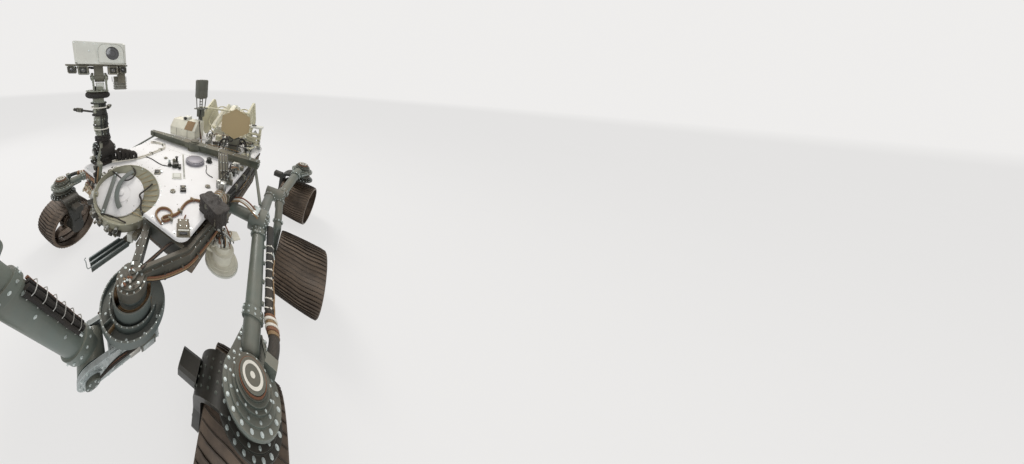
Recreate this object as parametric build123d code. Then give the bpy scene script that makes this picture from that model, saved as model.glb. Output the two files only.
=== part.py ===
"""A six-wheeled planetary rover: a boxy electronics body on rocker and bogie legs, with a camera mast,
an instrument arm at its front, a dish on a gimbal and a finned generator at its back.

Design frame: X forward, Y to the rover's left, Z up, with the origin on the ground below the middle axle.
The pieces are moved at the end, so that the origin is under the middle of the whole rover. Millimetres.
"""
import os
from math import atan2, cos, degrees, radians, sin

from build123d import *

LEFT = 1
RIGHT = -1
RUNNING_GAP = 0.08
SEAT_GAP = 0.3

# Wheels, hubs and axles
WHEEL_DIAMETER = 526
WHEEL_WIDTH = 330
WHEEL_CROWN = 6
WHEEL_SKIN = 7
WHEEL_LIP = 16
WHEEL_RIB_HEIGHT = 12
WHEEL_RIB_WIDTH = 8
SPOKE_COUNT = 6
SPOKE_WIDTH = 70
SPOKE_THICK = 8
SPOKE_SWEEP = 28
SPOKE_FOOT_LENGTH = 58
SPOKE_FOOT_THICK = 9
HUB_RADIUS = 78
HUB_LENGTH = 150
HUB_FLANGE_RADIUS = 96
HUB_FLANGE_THICK = 14
AXLE_RADIUS = 30
AXLE_CAP_RADIUS = 46
FRONT_AXLE_X = 1100
REAR_AXLE_X = -1080
CORNER_TRACK_Y = 1030
MIDDLE_TRACK_Y = 1150
TURN_RADIUS = 6200
WHEEL_RADIUS = WHEEL_DIAMETER / 2

# Body and deck
BODY_FRONT = 985
BODY_REAR = -640
BODY_HALF_WIDTH = 590
BODY_BOTTOM = 660
BODY_TOP = 1050
BODY_NOSE_RISE = 190
BODY_NOSE_SET_BACK = 120
BODY_TAIL_SET_BACK = 150
BODY_EDGE = 24
SIDE_POCKET_DEPTH = 6
SIDE_POCKET_HEIGHT = 250
SIDE_POCKET_Z = 865
DECK_THICK = 26
DECK_OVERHANG = 26
DECK_CORNER = 60
DECK_EDGE = 5
DECK_TOP = BODY_TOP + DECK_THICK
DECK_HOLES_X = 350
DECK_HOLES_Y = -350
DECK_HOLE_SPACING_X = 240
DECK_HOLE_SPACING_Y = 160
DECK_HOLE_RADIUS = 4.5
BELLY_X = 100
BELLY_LENGTH = 820
BELLY_WIDTH = 760
BELLY_PLATE_THICK = 16
BELLY_PAD_HEIGHT = 18
BELLY_PAD_RADIUS = 26
BELLY_PAD_SPACING_X = 660
BELLY_PAD_SPACING_Y = 600
BELLY_HOLE_RADIUS = 6.5
BELLY_PORT_RADIUS = 110
BELLY_PAD_BOTTOM = BODY_BOTTOM - BELLY_PLATE_THICK - BELLY_PAD_HEIGHT

# Corner forks and their steering drives
FORK_HEAD_ROOM = 114
FORK_TOP = WHEEL_DIAMETER + FORK_HEAD_ROOM
FORK_THICK = 36
FORK_WIDTH = 132
FORK_BEND = 100
FORK_RECESS = 5
WHEEL_SIDE_GAP = 14
DRIVE_RADIUS = 62
TURN_FLANGE_RADIUS = 126
TURN_FLANGE_THICK = 14
HOUSING_RADIUS = 68
HOUSING_BOTTOM = FORK_TOP + 12
HOUSING_FLANGE_RADIUS = 92
SPINDLE_DEPTH = 60
CAP_RADIUS = 46
LEG_END_Z = HOUSING_BOTTOM + 90
LEG_PLATE_RADIUS = 108
LEG_PLATE_THICK = 22

# Rocker and bogie legs
LEG_RADIUS = 40
LEG_COLLAR = 9
ROCKER_PIVOT_X = 320
ROCKER_PIVOT_Y = 850
ROCKER_PIVOT_Z = 850
ROCKER_HUB_RADIUS = 92
ROCKER_HUB_HALF = 60
PIVOT_AXLE_RADIUS = 48
BOGIE_PIVOT_X = -470
BOGIE_PIVOT_Z = 610
BOGIE_HUB_RADIUS = 74
BOGIE_LEG_Y = 895
BOGIE_TUBE_RADIUS = 34
HARNESS_RADIUS = 22
HARNESS_STANDOFF = 14
HARNESS_END_RISE = 36
SADDLE_COUNT = 4
SADDLE_RADIUS = 11
SADDLE_SET_BACK = 3.2

# Differential bar across the deck
BAR_HALF_LENGTH = 720
BAR_X = -40
BAR_WIDTH = 104
BAR_END_WIDTH = 60
BAR_HEIGHT = 70
BAR_POCKET = 12
BAR_BOTTOM = DECK_TOP + 22
BAR_HUB_RADIUS = 62
LINK_RADIUS = 12
LINK_EYE = 16

# Mast and head
MAST_X = 800
MAST_Y = -560
MAST_RADIUS = 47
MAST_TOP = 1705
MAST_BASE_TOP = 1310
HINGE_RADIUS = 92
HINGE_Z = 1208
PAN_RADIUS = 50
PAN_TOP = 1752
YOKE_BOTTOM = PAN_TOP + 5
WRAP_RADIUS = 80
WRAP_THICK = 26
WRAP_Z = 1768
TILT_Z = 1925
TILT_HALF = 43
TILT_SIDE = 28
TILT_PIN_RADIUS = 18
BAR_PLATE_TOP = 2037
BAR_PLATE_THICK = 12
HEAD_WIDTH = 400
HEAD_DEPTH = 360
HEAD_HEIGHT = 168
HEAD_BOTTOM = BAR_PLATE_TOP + SEAT_GAP
HEAD_FORWARD = 20
HEAD_SIDE = 57
HEAD_EDGE = 22
HEAD_TURN = 63
FACE_PLATE_WIDTH = 200
FACE_PLATE_THICK = 10
WINDOW_RADIUS = 54
WINDOW_SIDE = 145
WINDOW_DEPTH = 30
CAMERA_TOP = BAR_PLATE_TOP - BAR_PLATE_THICK - SEAT_GAP
BAR_CAMERA_SPACING = 424
FINNED_BOX_Z = 1868
EYE_CAMERA_SPACING = 244

# Instrument arm, built along X from the shoulder's upright axis and then turned
ARM_X = 1262
ARM_Y = 492
ARM_TURN = -20
BRACKET_BOTTOM = 937
BRACKET_HEIGHT = 70
RING_RADIUS = 162
RING_INNER_RADIUS = 112
RING_Z = 815
RING_THICK = 46
RING_WALL = 7
CUP_RADIUS = 98
CUP_WALL = 5
CUP_HEIGHT = 96
SHOULDER_DRUM_RADIUS = 70
SPINDLE_RADIUS = 40
SPINDLE_REACH = 80
TURNTABLE_TOP = 805
TURNTABLE_RADIUS = 88
TURNTABLE_REAR = 96
TURNTABLE_RECESS_X = 116
SHOULDER_REACH = 220
SHOULDER_Z = 675
HUB_HALF = 60
CHEEK_THICK = 20
CHEEK_GAP = 6
ARM_HUB_RADIUS = 62
PIN_RADIUS = 22
POCKET_DEPTH = 7
POCKET_RIB = 12
UPPER_ARM_LENGTH = 760
UPPER_ARM_RADIUS = 50
UPPER_ARM_RISE = 70
ELBOW_OFFSET = 122
FOREARM_LENGTH = 700
FOREARM_RADIUS = 42
FOREARM_FALL = 55
WRIST_DROP = 120
WRIST_RADIUS = 46
TURRET_RADIUS = 92
TURRET_HEIGHT = 150
TURRET_SPINDLE = 30

# Round tool store, sunk into the deck's front edge
CAROUSEL_X = 950
CAROUSEL_Y = 40
CAROUSEL_Z = 1075
CAROUSEL_RADIUS = 245
CAROUSEL_WALL = 9
CAROUSEL_DEPTH = 130
CAROUSEL_RIM = 20
CAROUSEL_FLOOR = -42
CAROUSEL_TILT = 24
CAROUSEL_TURN = 60

# Calibration plate
TARGET_WIDTH = 152
TARGET_HEIGHT = 62
TARGET_THICK = 10
WELL_SIZE = 19.5
WELL_SPACING = 28
WELL_DEPTH = 3
WELL_ROW = 14.5

# Canister on the left side
CANISTER_X = 690
CANISTER_Y = 716

# Dish antenna, relay antenna, generator and rear box
DISH_X = -330
DISH_Y = 360
DISH_POST_TOP = 1235
DISH_POST_RADIUS = 58
DISH_ACROSS = 330
DISH_THICK = 30
DISH_Z = 1400
DISH_TURN = 20
DISH_TILT = 15
DISH_FACE_REACH = 84
DISH_AXLE_RADIUS = 12
RELAY_X = -600
RELAY_Y = -260
RELAY_POST_TOP = 1340
RELAY_PLATE_Z = 1455
RELAY_BOTTOM = 1630
RELAY_TOP = 1865
RELAY_RADIUS = 88
REAR_BOX_X = -430
REAR_BOX_Y = -385
REAR_BOX_TOP = 1300
GENERATOR_RADIUS = 118
GENERATOR_LENGTH = 600
GENERATOR_FIN_REACH = 185
GENERATOR_FINS = 8
GENERATOR_FIN_THICK = 8
GENERATOR_TILT = 28
GENERATOR_X = -1030
GENERATOR_Z = 1225
PANEL_SIDE = 320
PANEL_LENGTH = 520
PANEL_HEIGHT = 420
PANEL_THICK = 24
PANEL_BAR_X = -800
PANEL_BAR_Z = 1440


def rod(start, end, radius):
    """A round bar from one point to another."""
    start, end = Vector(*start), Vector(*end)
    return Solid.make_cylinder(radius, (end - start).length, Plane(start, z_dir=end - start))


def block(centre, size, turn=0):
    """A box of a size (x, y, z) about a centre, turned about the upright axis."""
    return Location(centre, (0, 0, turn)) * Box(*size)


def drum(start, radius, height, axis=(0, 0, 1)):
    """A disc or drum that starts at a point and runs along an axis."""
    return Solid.make_cylinder(radius, height, Plane(Vector(*start), z_dir=Vector(*axis)))


def stack(start, steps, axis=(0, 0, 1)):
    """A stepped turned piece: discs of (radius, height) on top of one another along an axis."""
    discs, reach, way = [], 0, Vector(*axis)
    for radius, height in steps:
        discs.append(drum(tuple(Vector(*start) + way * reach), radius, height, axis))
        reach += height
    return joined(discs)


def beam(start, end, width, height):
    """A square bar from one point to another, with its width level."""
    start, end = Vector(*start), Vector(*end)
    along = end - start
    plane = Plane(origin=start, x_dir=Vector(0, 0, 1).cross(along), z_dir=along)
    return plane * (Pos(0, 0, along.length / 2) * Box(width, height, along.length))


def slab(points, bottom, thick):
    """An upright prism on a plan outline."""
    return Pos(0, 0, bottom) * extrude(make_face(Polyline(*points, close=True)), thick)


def joined(shapes):
    """One solid, or solids that do not touch, from a list of shapes."""
    return shapes[0].fuse(*shapes[1:]) if len(shapes) > 1 else shapes[0]


def along_leg(start, end, share):
    """A point a share of the way from one point to another."""
    return tuple(a + (b - a) * share for a, b in zip(start, end))


def hole_pattern(x, y, spacing_x, spacing_y, radius, bottom, top):
    """Four upright drills in a rectangle about a point, a little longer than the plate they cut."""
    return joined([drum((x + end * spacing_x / 2, y + side * spacing_y / 2, bottom - 1), radius,
                        top - bottom + 2)
                   for end in (-1, 1) for side in (LEFT, RIGHT)])


def behind(x):
    """Everything behind a plane across the rover, to trim a piece that bears on it from the front."""
    return block((x - 1000, 0, 1000), (2000, 3000, 2000))


def corner_steer(x, side):
    """The steering angle of a corner wheel in a gentle left turn, positive to the left."""
    return degrees(atan2(x, TURN_RADIUS - side * CORNER_TRACK_Y))


def wheel_rim():
    """The crowned thin drum with its rolled lips and the two ribs inside, about its axle along Y."""
    half = WHEEL_WIDTH / 2
    edge = WHEEL_RADIUS - WHEEL_CROWN
    inner = edge - WHEEL_SKIN
    lip = inner - WHEEL_LIP
    tread = ThreePointArc((half, edge), (0, WHEEL_RADIUS), (-half, edge))
    wall = Polyline((-half, edge), (-half, lip), (WHEEL_SKIN - half, lip), (WHEEL_SKIN - half, inner),
                    (half - WHEEL_SKIN, inner), (half - WHEEL_SKIN, lip), (half, lip), (half, edge))
    rim = revolve(make_face(tread.edges() + wall.edges()), Axis.X, 360)
    ribs = []
    for way in (-1, 1):
        x = way * (SPOKE_WIDTH / 2 + WHEEL_RIB_WIDTH)
        ring = drum((x - WHEEL_RIB_WIDTH / 2, 0, 0), inner + 1, WHEEL_RIB_WIDTH, (1, 0, 0))
        ribs.append(ring - drum((x - WHEEL_RIB_WIDTH, 0, 0), inner - WHEEL_RIB_HEIGHT, 2 * WHEEL_RIB_WIDTH,
                                (1, 0, 0)))
    return Rot(0, 0, 90) * joined([rim] + ribs)


def wheel_spoke():
    """One curved flexible spoke with its riveted foot, in the wheel's middle plane, along X from the axle."""
    inner = WHEEL_RADIUS - WHEEL_CROWN - WHEEL_SKIN
    middle = (HUB_RADIUS + inner) / 2
    sweep = radians(SPOKE_SWEEP)
    arc = ThreePointArc((HUB_RADIUS - 4, 0), (middle * cos(sweep), middle * sin(sweep)), (inner, 0))
    strip = extrude(trace(arc, SPOKE_THICK), SPOKE_WIDTH / 2, both=True)
    foot = Pos(inner - SPOKE_FOOT_THICK / 2 + 1, 0, 0) * Box(SPOKE_FOOT_THICK, SPOKE_FOOT_LENGTH, SPOKE_WIDTH)
    return strip.fuse(foot)


def wheel():
    """A crowned thin drum with rolled lips, six curved flexible spokes and a flanged hub, about its axle."""
    spoke = wheel_spoke()
    spokes = [Rot(90, 0, 0) * Rot(0, 0, 360 / SPOKE_COUNT * i) * spoke for i in range(SPOKE_COUNT)]
    rest = (HUB_LENGTH - HUB_FLANGE_THICK) / 2
    hub = stack((0, -HUB_LENGTH / 2, 0), ((HUB_RADIUS - 12, 20), (HUB_RADIUS, rest - 20),
                                          (HUB_FLANGE_RADIUS, HUB_FLANGE_THICK), (HUB_RADIUS, rest - 20),
                                          (HUB_RADIUS - 12, 20)), (0, 1, 0))
    bore = drum((0, -HUB_LENGTH, 0), AXLE_RADIUS + RUNNING_GAP, HUB_LENGTH * 2, (0, 1, 0))
    return joined([wheel_rim(), hub] + spokes) - bore


def axle(side, reach):
    """The drive drum and axle of a wheel, from its inner side at a reach, with a cap outside."""
    hub_end = HUB_LENGTH / 2 + SEAT_GAP
    return joined([
        rod((0, -side * reach, 0), (0, -side * hub_end, 0), DRIVE_RADIUS),
        rod((0, -side * reach, 0), (0, side * (hub_end + 10), 0), AXLE_RADIUS),
        stack((0, side * hub_end, 0), ((AXLE_CAP_RADIUS, 10), (AXLE_CAP_RADIUS - 10, 8)), (0, side, 0)),
    ])


def left_fork():
    """The one-sided bracket between a left steering spindle and its wheel's axle, about the wheel."""
    plate_y = -(WHEEL_WIDTH / 2 + WHEEL_SIDE_GAP + FORK_THICK / 2)
    top = FORK_TOP - WHEEL_RADIUS
    level = top - FORK_THICK / 2
    boss = FORK_WIDTH / 2
    path = FilletPolyline((boss, level), (plate_y, level), (plate_y, -boss), radius=FORK_BEND)
    bent = extrude(Plane.YZ * trace(path, FORK_THICK), boss + 20, both=True)
    taper = make_face(Polyline((-boss - 16, top + 1), (boss + 16, top + 1), (boss - 14, top / 3), (boss, 0),
                               (-boss, 0), (14 - boss, top / 3), close=True)) + Circle(boss)
    leg = bent & extrude(Plane.XZ * taper, 2 * boss + WHEEL_WIDTH, both=True)
    recess_bottom = plate_y - FORK_THICK / 2 + FORK_RECESS
    recess = slab([(-30, 90), (30, 90), (44, top - FORK_BEND), (-44, top - FORK_BEND)], 0, 40)
    recess = Location((0, recess_bottom, 0), (90, 0, 0)) * recess
    flange = stack((0, 0, top - 2 * TURN_FLANGE_THICK), (
        (TURN_FLANGE_RADIUS, TURN_FLANGE_THICK), (TURN_FLANGE_RADIUS - 18, TURN_FLANGE_THICK)))
    spindle = drum((0, 0, top - FORK_THICK), AXLE_RADIUS,
                   FORK_THICK + HOUSING_BOTTOM - FORK_TOP + SPINDLE_DEPTH)
    foot = chamfer(block((0, plate_y - FORK_THICK / 2 - 44, 276), (84, 92, 74)).edges().filter_by(Axis.Y), 12)
    return joined([leg - recess, flange, spindle, foot, axle(LEFT, abs(plate_y))])


def corner_fork(side):
    """The fork of a left wheel, or its mirror image."""
    return left_fork() if side == LEFT else mirror(left_fork(), about=Plane.XZ)


def steering_drive(x, y):
    """The upright motor housing over a corner wheel, with its stepped flange and end cap."""
    shell = stack((x, y, HOUSING_BOTTOM), (
        (HOUSING_FLANGE_RADIUS, 18), (HOUSING_RADIUS + 8, 20), (HOUSING_RADIUS, 74), (HOUSING_RADIUS + 6, 14),
        (HOUSING_RADIUS - 4, 14), (CAP_RADIUS + 8, 8), (CAP_RADIUS, 16)))
    return shell - drum((x, y, HOUSING_BOTTOM - 1), AXLE_RADIUS + RUNNING_GAP, SPINDLE_DEPTH + 2)


def leg_end(x, side):
    """The bolted plate that carries a steering drive at the end of a leg, with its two gussets."""
    y = side * CORNER_TRACK_Y
    inward = -1 if x > 0 else 1
    bottom = LEG_END_Z - 30
    root_x, root_y = x + inward * 178, y - side * 34
    outline = [(x, y - LEG_PLATE_RADIUS), (x, y + LEG_PLATE_RADIUS), (root_x, root_y + 50),
               (root_x, root_y - 50)]
    parts = [slab(outline, bottom, LEG_PLATE_THICK), stack((x, y, bottom), (
        (LEG_PLATE_RADIUS, LEG_PLATE_THICK), (HOUSING_RADIUS + 20, 12)))]
    for way in (-1, 1):
        parts.append(beam((x + inward * 78, y + way * 56, LEG_END_Z - 4),
                          (root_x, root_y + way * 30, LEG_END_Z - 4),
                          8, 24))
    return joined(parts) - drum((x, y, LEG_END_Z - 100), HOUSING_RADIUS + SEAT_GAP, 200)


def leg_tube(start, end, radius):
    """A leg's tube with a collar at each end."""
    parts = [rod(start, end, radius)]
    for low, high in ((0.12, 0.2), (0.8, 0.86)):
        parts.append(rod(along_leg(start, end, low), along_leg(start, end, high), radius + LEG_COLLAR))
    return joined(parts)


def rocker_front(side):
    """The end of the rocker's front tube, over its steering plate."""
    return (FRONT_AXLE_X - 105, side * (CORNER_TRACK_Y - 32), LEG_END_Z)


def rocker_pivot(side):
    """The middle of the rocker's pivot hub."""
    return (ROCKER_PIVOT_X, side * ROCKER_PIVOT_Y, ROCKER_PIVOT_Z)


def rocker(side):
    """The front leg of one side: from the steering plate to its pivot and back to the bogie."""
    pivot, front = rocker_pivot(side), rocker_front(side)
    knee = (BOGIE_PIVOT_X, side * (BOGIE_LEG_Y - 95), BOGIE_PIVOT_Z)
    hub_start = (ROCKER_PIVOT_X, side * (ROCKER_PIVOT_Y - ROCKER_HUB_HALF), ROCKER_PIVOT_Z)
    parts = [
        stack(hub_start, ((ROCKER_HUB_RADIUS, 2 * ROCKER_HUB_HALF - 16), (ROCKER_HUB_RADIUS - 14, 8),
                          (ROCKER_HUB_RADIUS - 34, 8)), (0, side, 0)),
        rod((ROCKER_PIVOT_X, side * (BODY_HALF_WIDTH + SEAT_GAP), ROCKER_PIVOT_Z), pivot, PIVOT_AXLE_RADIUS),
        rod((ROCKER_PIVOT_X, side * (BODY_HALF_WIDTH + SEAT_GAP), ROCKER_PIVOT_Z),
            (ROCKER_PIVOT_X, side * (BODY_HALF_WIDTH + 30), ROCKER_PIVOT_Z), PIVOT_AXLE_RADIUS + 26),
        leg_tube(pivot, front, LEG_RADIUS),
        Sphere(LEG_RADIUS).locate(Location(front)),
        leg_tube(pivot, knee, LEG_RADIUS),
        rod((BOGIE_PIVOT_X, side * (BOGIE_LEG_Y - 140), BOGIE_PIVOT_Z),
            (BOGIE_PIVOT_X, side * (BOGIE_LEG_Y - 50), BOGIE_PIVOT_Z), BOGIE_HUB_RADIUS),
        leg_end(FRONT_AXLE_X, side),
    ]
    reach = LEG_RADIUS + HARNESS_STANDOFF - SADDLE_SET_BACK
    for i in range(SADDLE_COUNT):
        x, y, z = along_leg(pivot, front, 0.27 + 0.15 * i)
        parts.append(rod((x, y, z), (x, y + side * reach, z), SADDLE_RADIUS))
    x, y, z = harness_line(side)[-1]
    parts.append(block((x + SEAT_GAP + 18, y, z - 8), (36, 44, 72)))
    return joined(parts)


def harness_line(side):
    """The route of the harness: from the pivot hub, along the front tube's outer side, to its connector."""
    pivot, front = rocker_pivot(side), rocker_front(side)
    out = side * (LEG_RADIUS + HARNESS_STANDOFF + HARNESS_RADIUS)
    x, y, z = pivot
    run = [(px, py + out, pz) for px, py, pz in (along_leg(pivot, front, share) for share in (0.22, 0.75))]
    end_y, end_z = side * (CORNER_TRACK_Y + 50), LEG_END_Z + HARNESS_END_RISE
    return [(x + 40, y + side * (ROCKER_HUB_HALF + HARNESS_RADIUS + SEAT_GAP), z + 20)] + run + [
        (FRONT_AXLE_X - 175, end_y, end_z), (FRONT_AXLE_X - 110, end_y, end_z)]


def rocker_cable(side):
    """The wrapped harness, held along the rocker's front tube by its saddles."""
    points = harness_line(side)
    first, second = (Vector(*point) for point in points[:2])
    path = FilletPolyline(*points, radius=[480, 320, 135])
    section = Plane(origin=first, z_dir=second - first) * Circle(HARNESS_RADIUS)
    return sweep(section, path=path)


def bogie(side):
    """The rear leg of one side: from the middle wheel's axle over its pivot to the rear steering plate."""
    pivot = (BOGIE_PIVOT_X, side * BOGIE_LEG_Y, BOGIE_PIVOT_Z)
    reach = WHEEL_WIDTH / 2 + WHEEL_SIDE_GAP + FORK_THICK / 2
    foot_y = side * (MIDDLE_TRACK_Y - reach)
    shoulder = (-150, foot_y - side * 10, 470)
    rear = (REAR_AXLE_X + 105, side * (CORNER_TRACK_Y - 32), LEG_END_Z)
    hub_start = (BOGIE_PIVOT_X, side * (BOGIE_LEG_Y - 50 + SEAT_GAP), BOGIE_PIVOT_Z)
    return joined([
        stack(hub_start, ((BOGIE_HUB_RADIUS, 78), (BOGIE_HUB_RADIUS - 14, 8), (BOGIE_HUB_RADIUS - 34, 8)),
              (0, side, 0)),
        leg_tube(pivot, shoulder, BOGIE_TUBE_RADIUS),
        Sphere(BOGIE_TUBE_RADIUS).locate(Location(shoulder)),
        rod(shoulder, (0, foot_y - side * 10, WHEEL_RADIUS), BOGIE_TUBE_RADIUS),
        stack((0, foot_y - side * 34, WHEEL_RADIUS), ((FORK_WIDTH / 2 - 16, 8), (FORK_WIDTH / 2, 40)),
              (0, side, 0)),
        leg_tube(pivot, rear, LEG_RADIUS),
        Sphere(LEG_RADIUS).locate(Location(rear)),
        leg_end(REAR_AXLE_X, side),
        Pos(0, side * MIDDLE_TRACK_Y, WHEEL_RADIUS) * axle(side, reach),
    ])


def on_carousel(shape):
    """A piece of the round tool store, moved from its own frame to its tilted place."""
    place = Location((CAROUSEL_X, CAROUSEL_Y, CAROUSEL_Z)) * Rot(0, 0, CAROUSEL_TURN)
    return place * Rot(0, CAROUSEL_TILT, 0) * shape


def carousel_space():
    """The round cut that the tool store sits in."""
    bottom = CAROUSEL_RIM - CAROUSEL_DEPTH - SEAT_GAP
    return on_carousel(drum((0, 0, bottom), CAROUSEL_RADIUS + SEAT_GAP, 500))


def body_tub():
    """The closed electronics body, with a raised nose, a cut-back tail and pocketed sides."""
    side_view = Polyline(
        (BODY_FRONT, BODY_TOP), (BODY_FRONT, BODY_BOTTOM + BODY_NOSE_RISE),
        (BODY_FRONT - BODY_NOSE_SET_BACK, BODY_BOTTOM), (BODY_REAR + BODY_TAIL_SET_BACK, BODY_BOTTOM),
        (BODY_REAR, BODY_BOTTOM + BODY_TAIL_SET_BACK), (BODY_REAR, BODY_TOP), close=True)
    tub = extrude(Plane.XZ * make_face(side_view), BODY_HALF_WIDTH, both=True)
    tub = fillet(tub.edges().filter_by(Axis.Y), BODY_EDGE)
    pockets = []
    for x, length in ((-430, 230), (-130, 300), (545, 160)):
        for side in (LEFT, RIGHT):
            pocket = block((x, side * BODY_HALF_WIDTH, SIDE_POCKET_Z),
                           (length, 2 * SIDE_POCKET_DEPTH, SIDE_POCKET_HEIGHT))
            pockets.append(fillet(pocket.edges().filter_by(Axis.Y), 18))
    return tub - joined(pockets) - carousel_space()


def top_deck():
    """The white deck plate over the body, cut round for the tool store."""
    length = BODY_FRONT - BODY_REAR + 2 * DECK_OVERHANG
    width = 2 * (BODY_HALF_WIDTH + DECK_OVERHANG)
    middle = (BODY_FRONT + BODY_REAR) / 2
    outline = RectangleRounded(length, width, DECK_CORNER)
    plate = Pos(middle, 0, BODY_TOP) * extrude(outline, DECK_THICK)
    plate = chamfer(plate.edges().group_by(Axis.Z)[-1], DECK_EDGE)
    return plate - carousel_space() - hole_pattern(
        DECK_HOLES_X, DECK_HOLES_Y, DECK_HOLE_SPACING_X, DECK_HOLE_SPACING_Y, DECK_HOLE_RADIUS, BODY_TOP,
        DECK_TOP)


def belly_plate():
    """The service panel under the body, with its round port, ribs and four drilled corner pads."""
    bottom = BODY_BOTTOM - BELLY_PLATE_THICK
    panel = block((BELLY_X, 0, BODY_BOTTOM - BELLY_PLATE_THICK / 2),
                  (BELLY_LENGTH, BELLY_WIDTH, BELLY_PLATE_THICK))
    parts = [fillet(panel.edges().filter_by(Axis.Z), 30)]
    parts.append(drum((BELLY_X, 0, bottom - 8), BELLY_PORT_RADIUS, 10))
    for way in (-1, 1):
        parts.append(block((BELLY_X + way * 220, 0, bottom - 5), (16, BELLY_WIDTH - 260, 12)))
        for side in (LEFT, RIGHT):
            place = (BELLY_X + way * BELLY_PAD_SPACING_X / 2, side * BELLY_PAD_SPACING_Y / 2,
                     BELLY_PAD_BOTTOM)
            parts.append(drum(place, BELLY_PAD_RADIUS, BELLY_PAD_HEIGHT + 2))
    return joined(parts) - hole_pattern(BELLY_X, 0, BELLY_PAD_SPACING_X, BELLY_PAD_SPACING_Y,
                                        BELLY_HOLE_RADIUS, BELLY_PAD_BOTTOM, BODY_BOTTOM)


def arm_bracket():
    """The triangular frame that carries the arm's shoulder, with a long beam back along the body's side."""
    beam_width = 44
    side_y = BODY_HALF_WIDTH + DECK_OVERHANG + 24
    outer = [(640, side_y + 10), (BODY_FRONT, side_y - 6), (ARM_X, ARM_Y)]
    inner = (BODY_FRONT - 20, 300, BRACKET_BOTTOM)
    middle = BRACKET_BOTTOM + BRACKET_HEIGHT / 2
    parts = [stack((ARM_X, ARM_Y, BRACKET_BOTTOM), ((74, BRACKET_HEIGHT - 12), (62, 12)))]
    for start, end in zip(outer, outer[1:]):
        parts.append(beam((*start, middle), (*end, middle), beam_width, BRACKET_HEIGHT))
        parts.append(beam((*start, middle + 10), (*end, middle + 10), 18, BRACKET_HEIGHT + 20))
        parts.append(drum((*start, BRACKET_BOTTOM), beam_width / 2, BRACKET_HEIGHT))
    parts.append(beam((inner[0], inner[1], middle), (ARM_X, ARM_Y, middle), beam_width, BRACKET_HEIGHT))
    wall = block((BODY_FRONT + 12, 446, middle + 4), (24, 330, BRACKET_HEIGHT + 32))
    pad_reach = side_y - BODY_HALF_WIDTH
    pad = block((700, BODY_HALF_WIDTH + SEAT_GAP + pad_reach / 2, middle),
                (110, pad_reach, BRACKET_HEIGHT - 16))
    corner = slab([(BODY_FRONT, 560), (BODY_FRONT + 120, 600), (BODY_FRONT, side_y)], BRACKET_BOTTOM + 20, 12)
    frame = joined(parts + [wall, corner])
    trim = block((BODY_FRONT - 500, 0, 1000), (1000, 2 * (BODY_HALF_WIDTH + SEAT_GAP), 2000))
    return frame.fuse(pad) - trim


def shoulder_ring():
    """The arm's fixed shoulder: a drum under the bracket, with an open trough and a thin cable cup."""
    place = (ARM_X, ARM_Y, RING_Z)
    trough = drum(place, RING_RADIUS, RING_THICK) - drum(place, RING_INNER_RADIUS, RING_THICK)
    groove = (drum((ARM_X, ARM_Y, RING_Z + RING_WALL), RING_RADIUS - RING_WALL, RING_THICK)
              - drum(place, RING_INNER_RADIUS + RING_WALL, RING_THICK * 2))
    floor = drum(place, RING_INNER_RADIUS + 1, RING_WALL)
    cup = drum(place, CUP_RADIUS, CUP_HEIGHT) - drum((ARM_X, ARM_Y, RING_Z + 1), CUP_RADIUS - CUP_WALL,
                                                     CUP_HEIGHT)
    column = stack(place, ((SHOULDER_DRUM_RADIUS, 74),
                           (SHOULDER_DRUM_RADIUS - 12, BRACKET_BOTTOM - RING_Z - 74)))
    gap = Location((ARM_X, ARM_Y, RING_Z + RING_WALL), (0, 0, 150)) * (Pos(150, 0, 60) * Box(160, 120, 120))
    bore = drum((ARM_X, ARM_Y, RING_Z - 1), SPINDLE_RADIUS + RUNNING_GAP, SPINDLE_REACH + 2)
    return joined([trough - groove, floor, cup]) - gap + column - bore


def on_arm(shape):
    """A piece of the arm, moved from its own frame to the shoulder's upright axis."""
    return Location((ARM_X, ARM_Y, 0), (0, 0, ARM_TURN)) * shape


def arm_point(base, length, rise):
    """A point a length away from another, in the arm's upright plane."""
    return (base[0] + length * cos(radians(rise)), base[1], base[2] + length * sin(radians(rise)))


SHOULDER = (SHOULDER_REACH, 0, SHOULDER_Z)
ELBOW = arm_point(SHOULDER, UPPER_ARM_LENGTH, UPPER_ARM_RISE)
ELBOW_SIDE = (ELBOW[0], ELBOW[1] + ELBOW_OFFSET, ELBOW[2])
WRIST = arm_point(ELBOW_SIDE, FOREARM_LENGTH, -FOREARM_FALL)


def cross_hub(centre, radius, low, high):
    """A drum across the arm about a centre, between two distances to its left."""
    x, y, z = centre
    return rod((x, y + low, z), (x, y + high, z), radius)


def framed_pockets(low, high, bottom, top, y, count):
    """Pockets in a side face between ribs, each cut in two by a slanting rib."""
    pockets = []
    step = (high - low) / count
    for i in range(count):
        a, b = low + step * i + POCKET_RIB / 2, low + step * (i + 1) - POCKET_RIB / 2
        for points in ([(a, bottom), (b - POCKET_RIB, bottom), (a, top - POCKET_RIB)],
                       [(b, top), (a + POCKET_RIB, top), (b, bottom + POCKET_RIB)]):
            face = Plane.XZ * make_face(Polyline(*points, close=True))
            pockets.append(Pos(0, y, 0) * extrude(face, POCKET_DEPTH, both=True))
    return joined(pockets)


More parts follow.
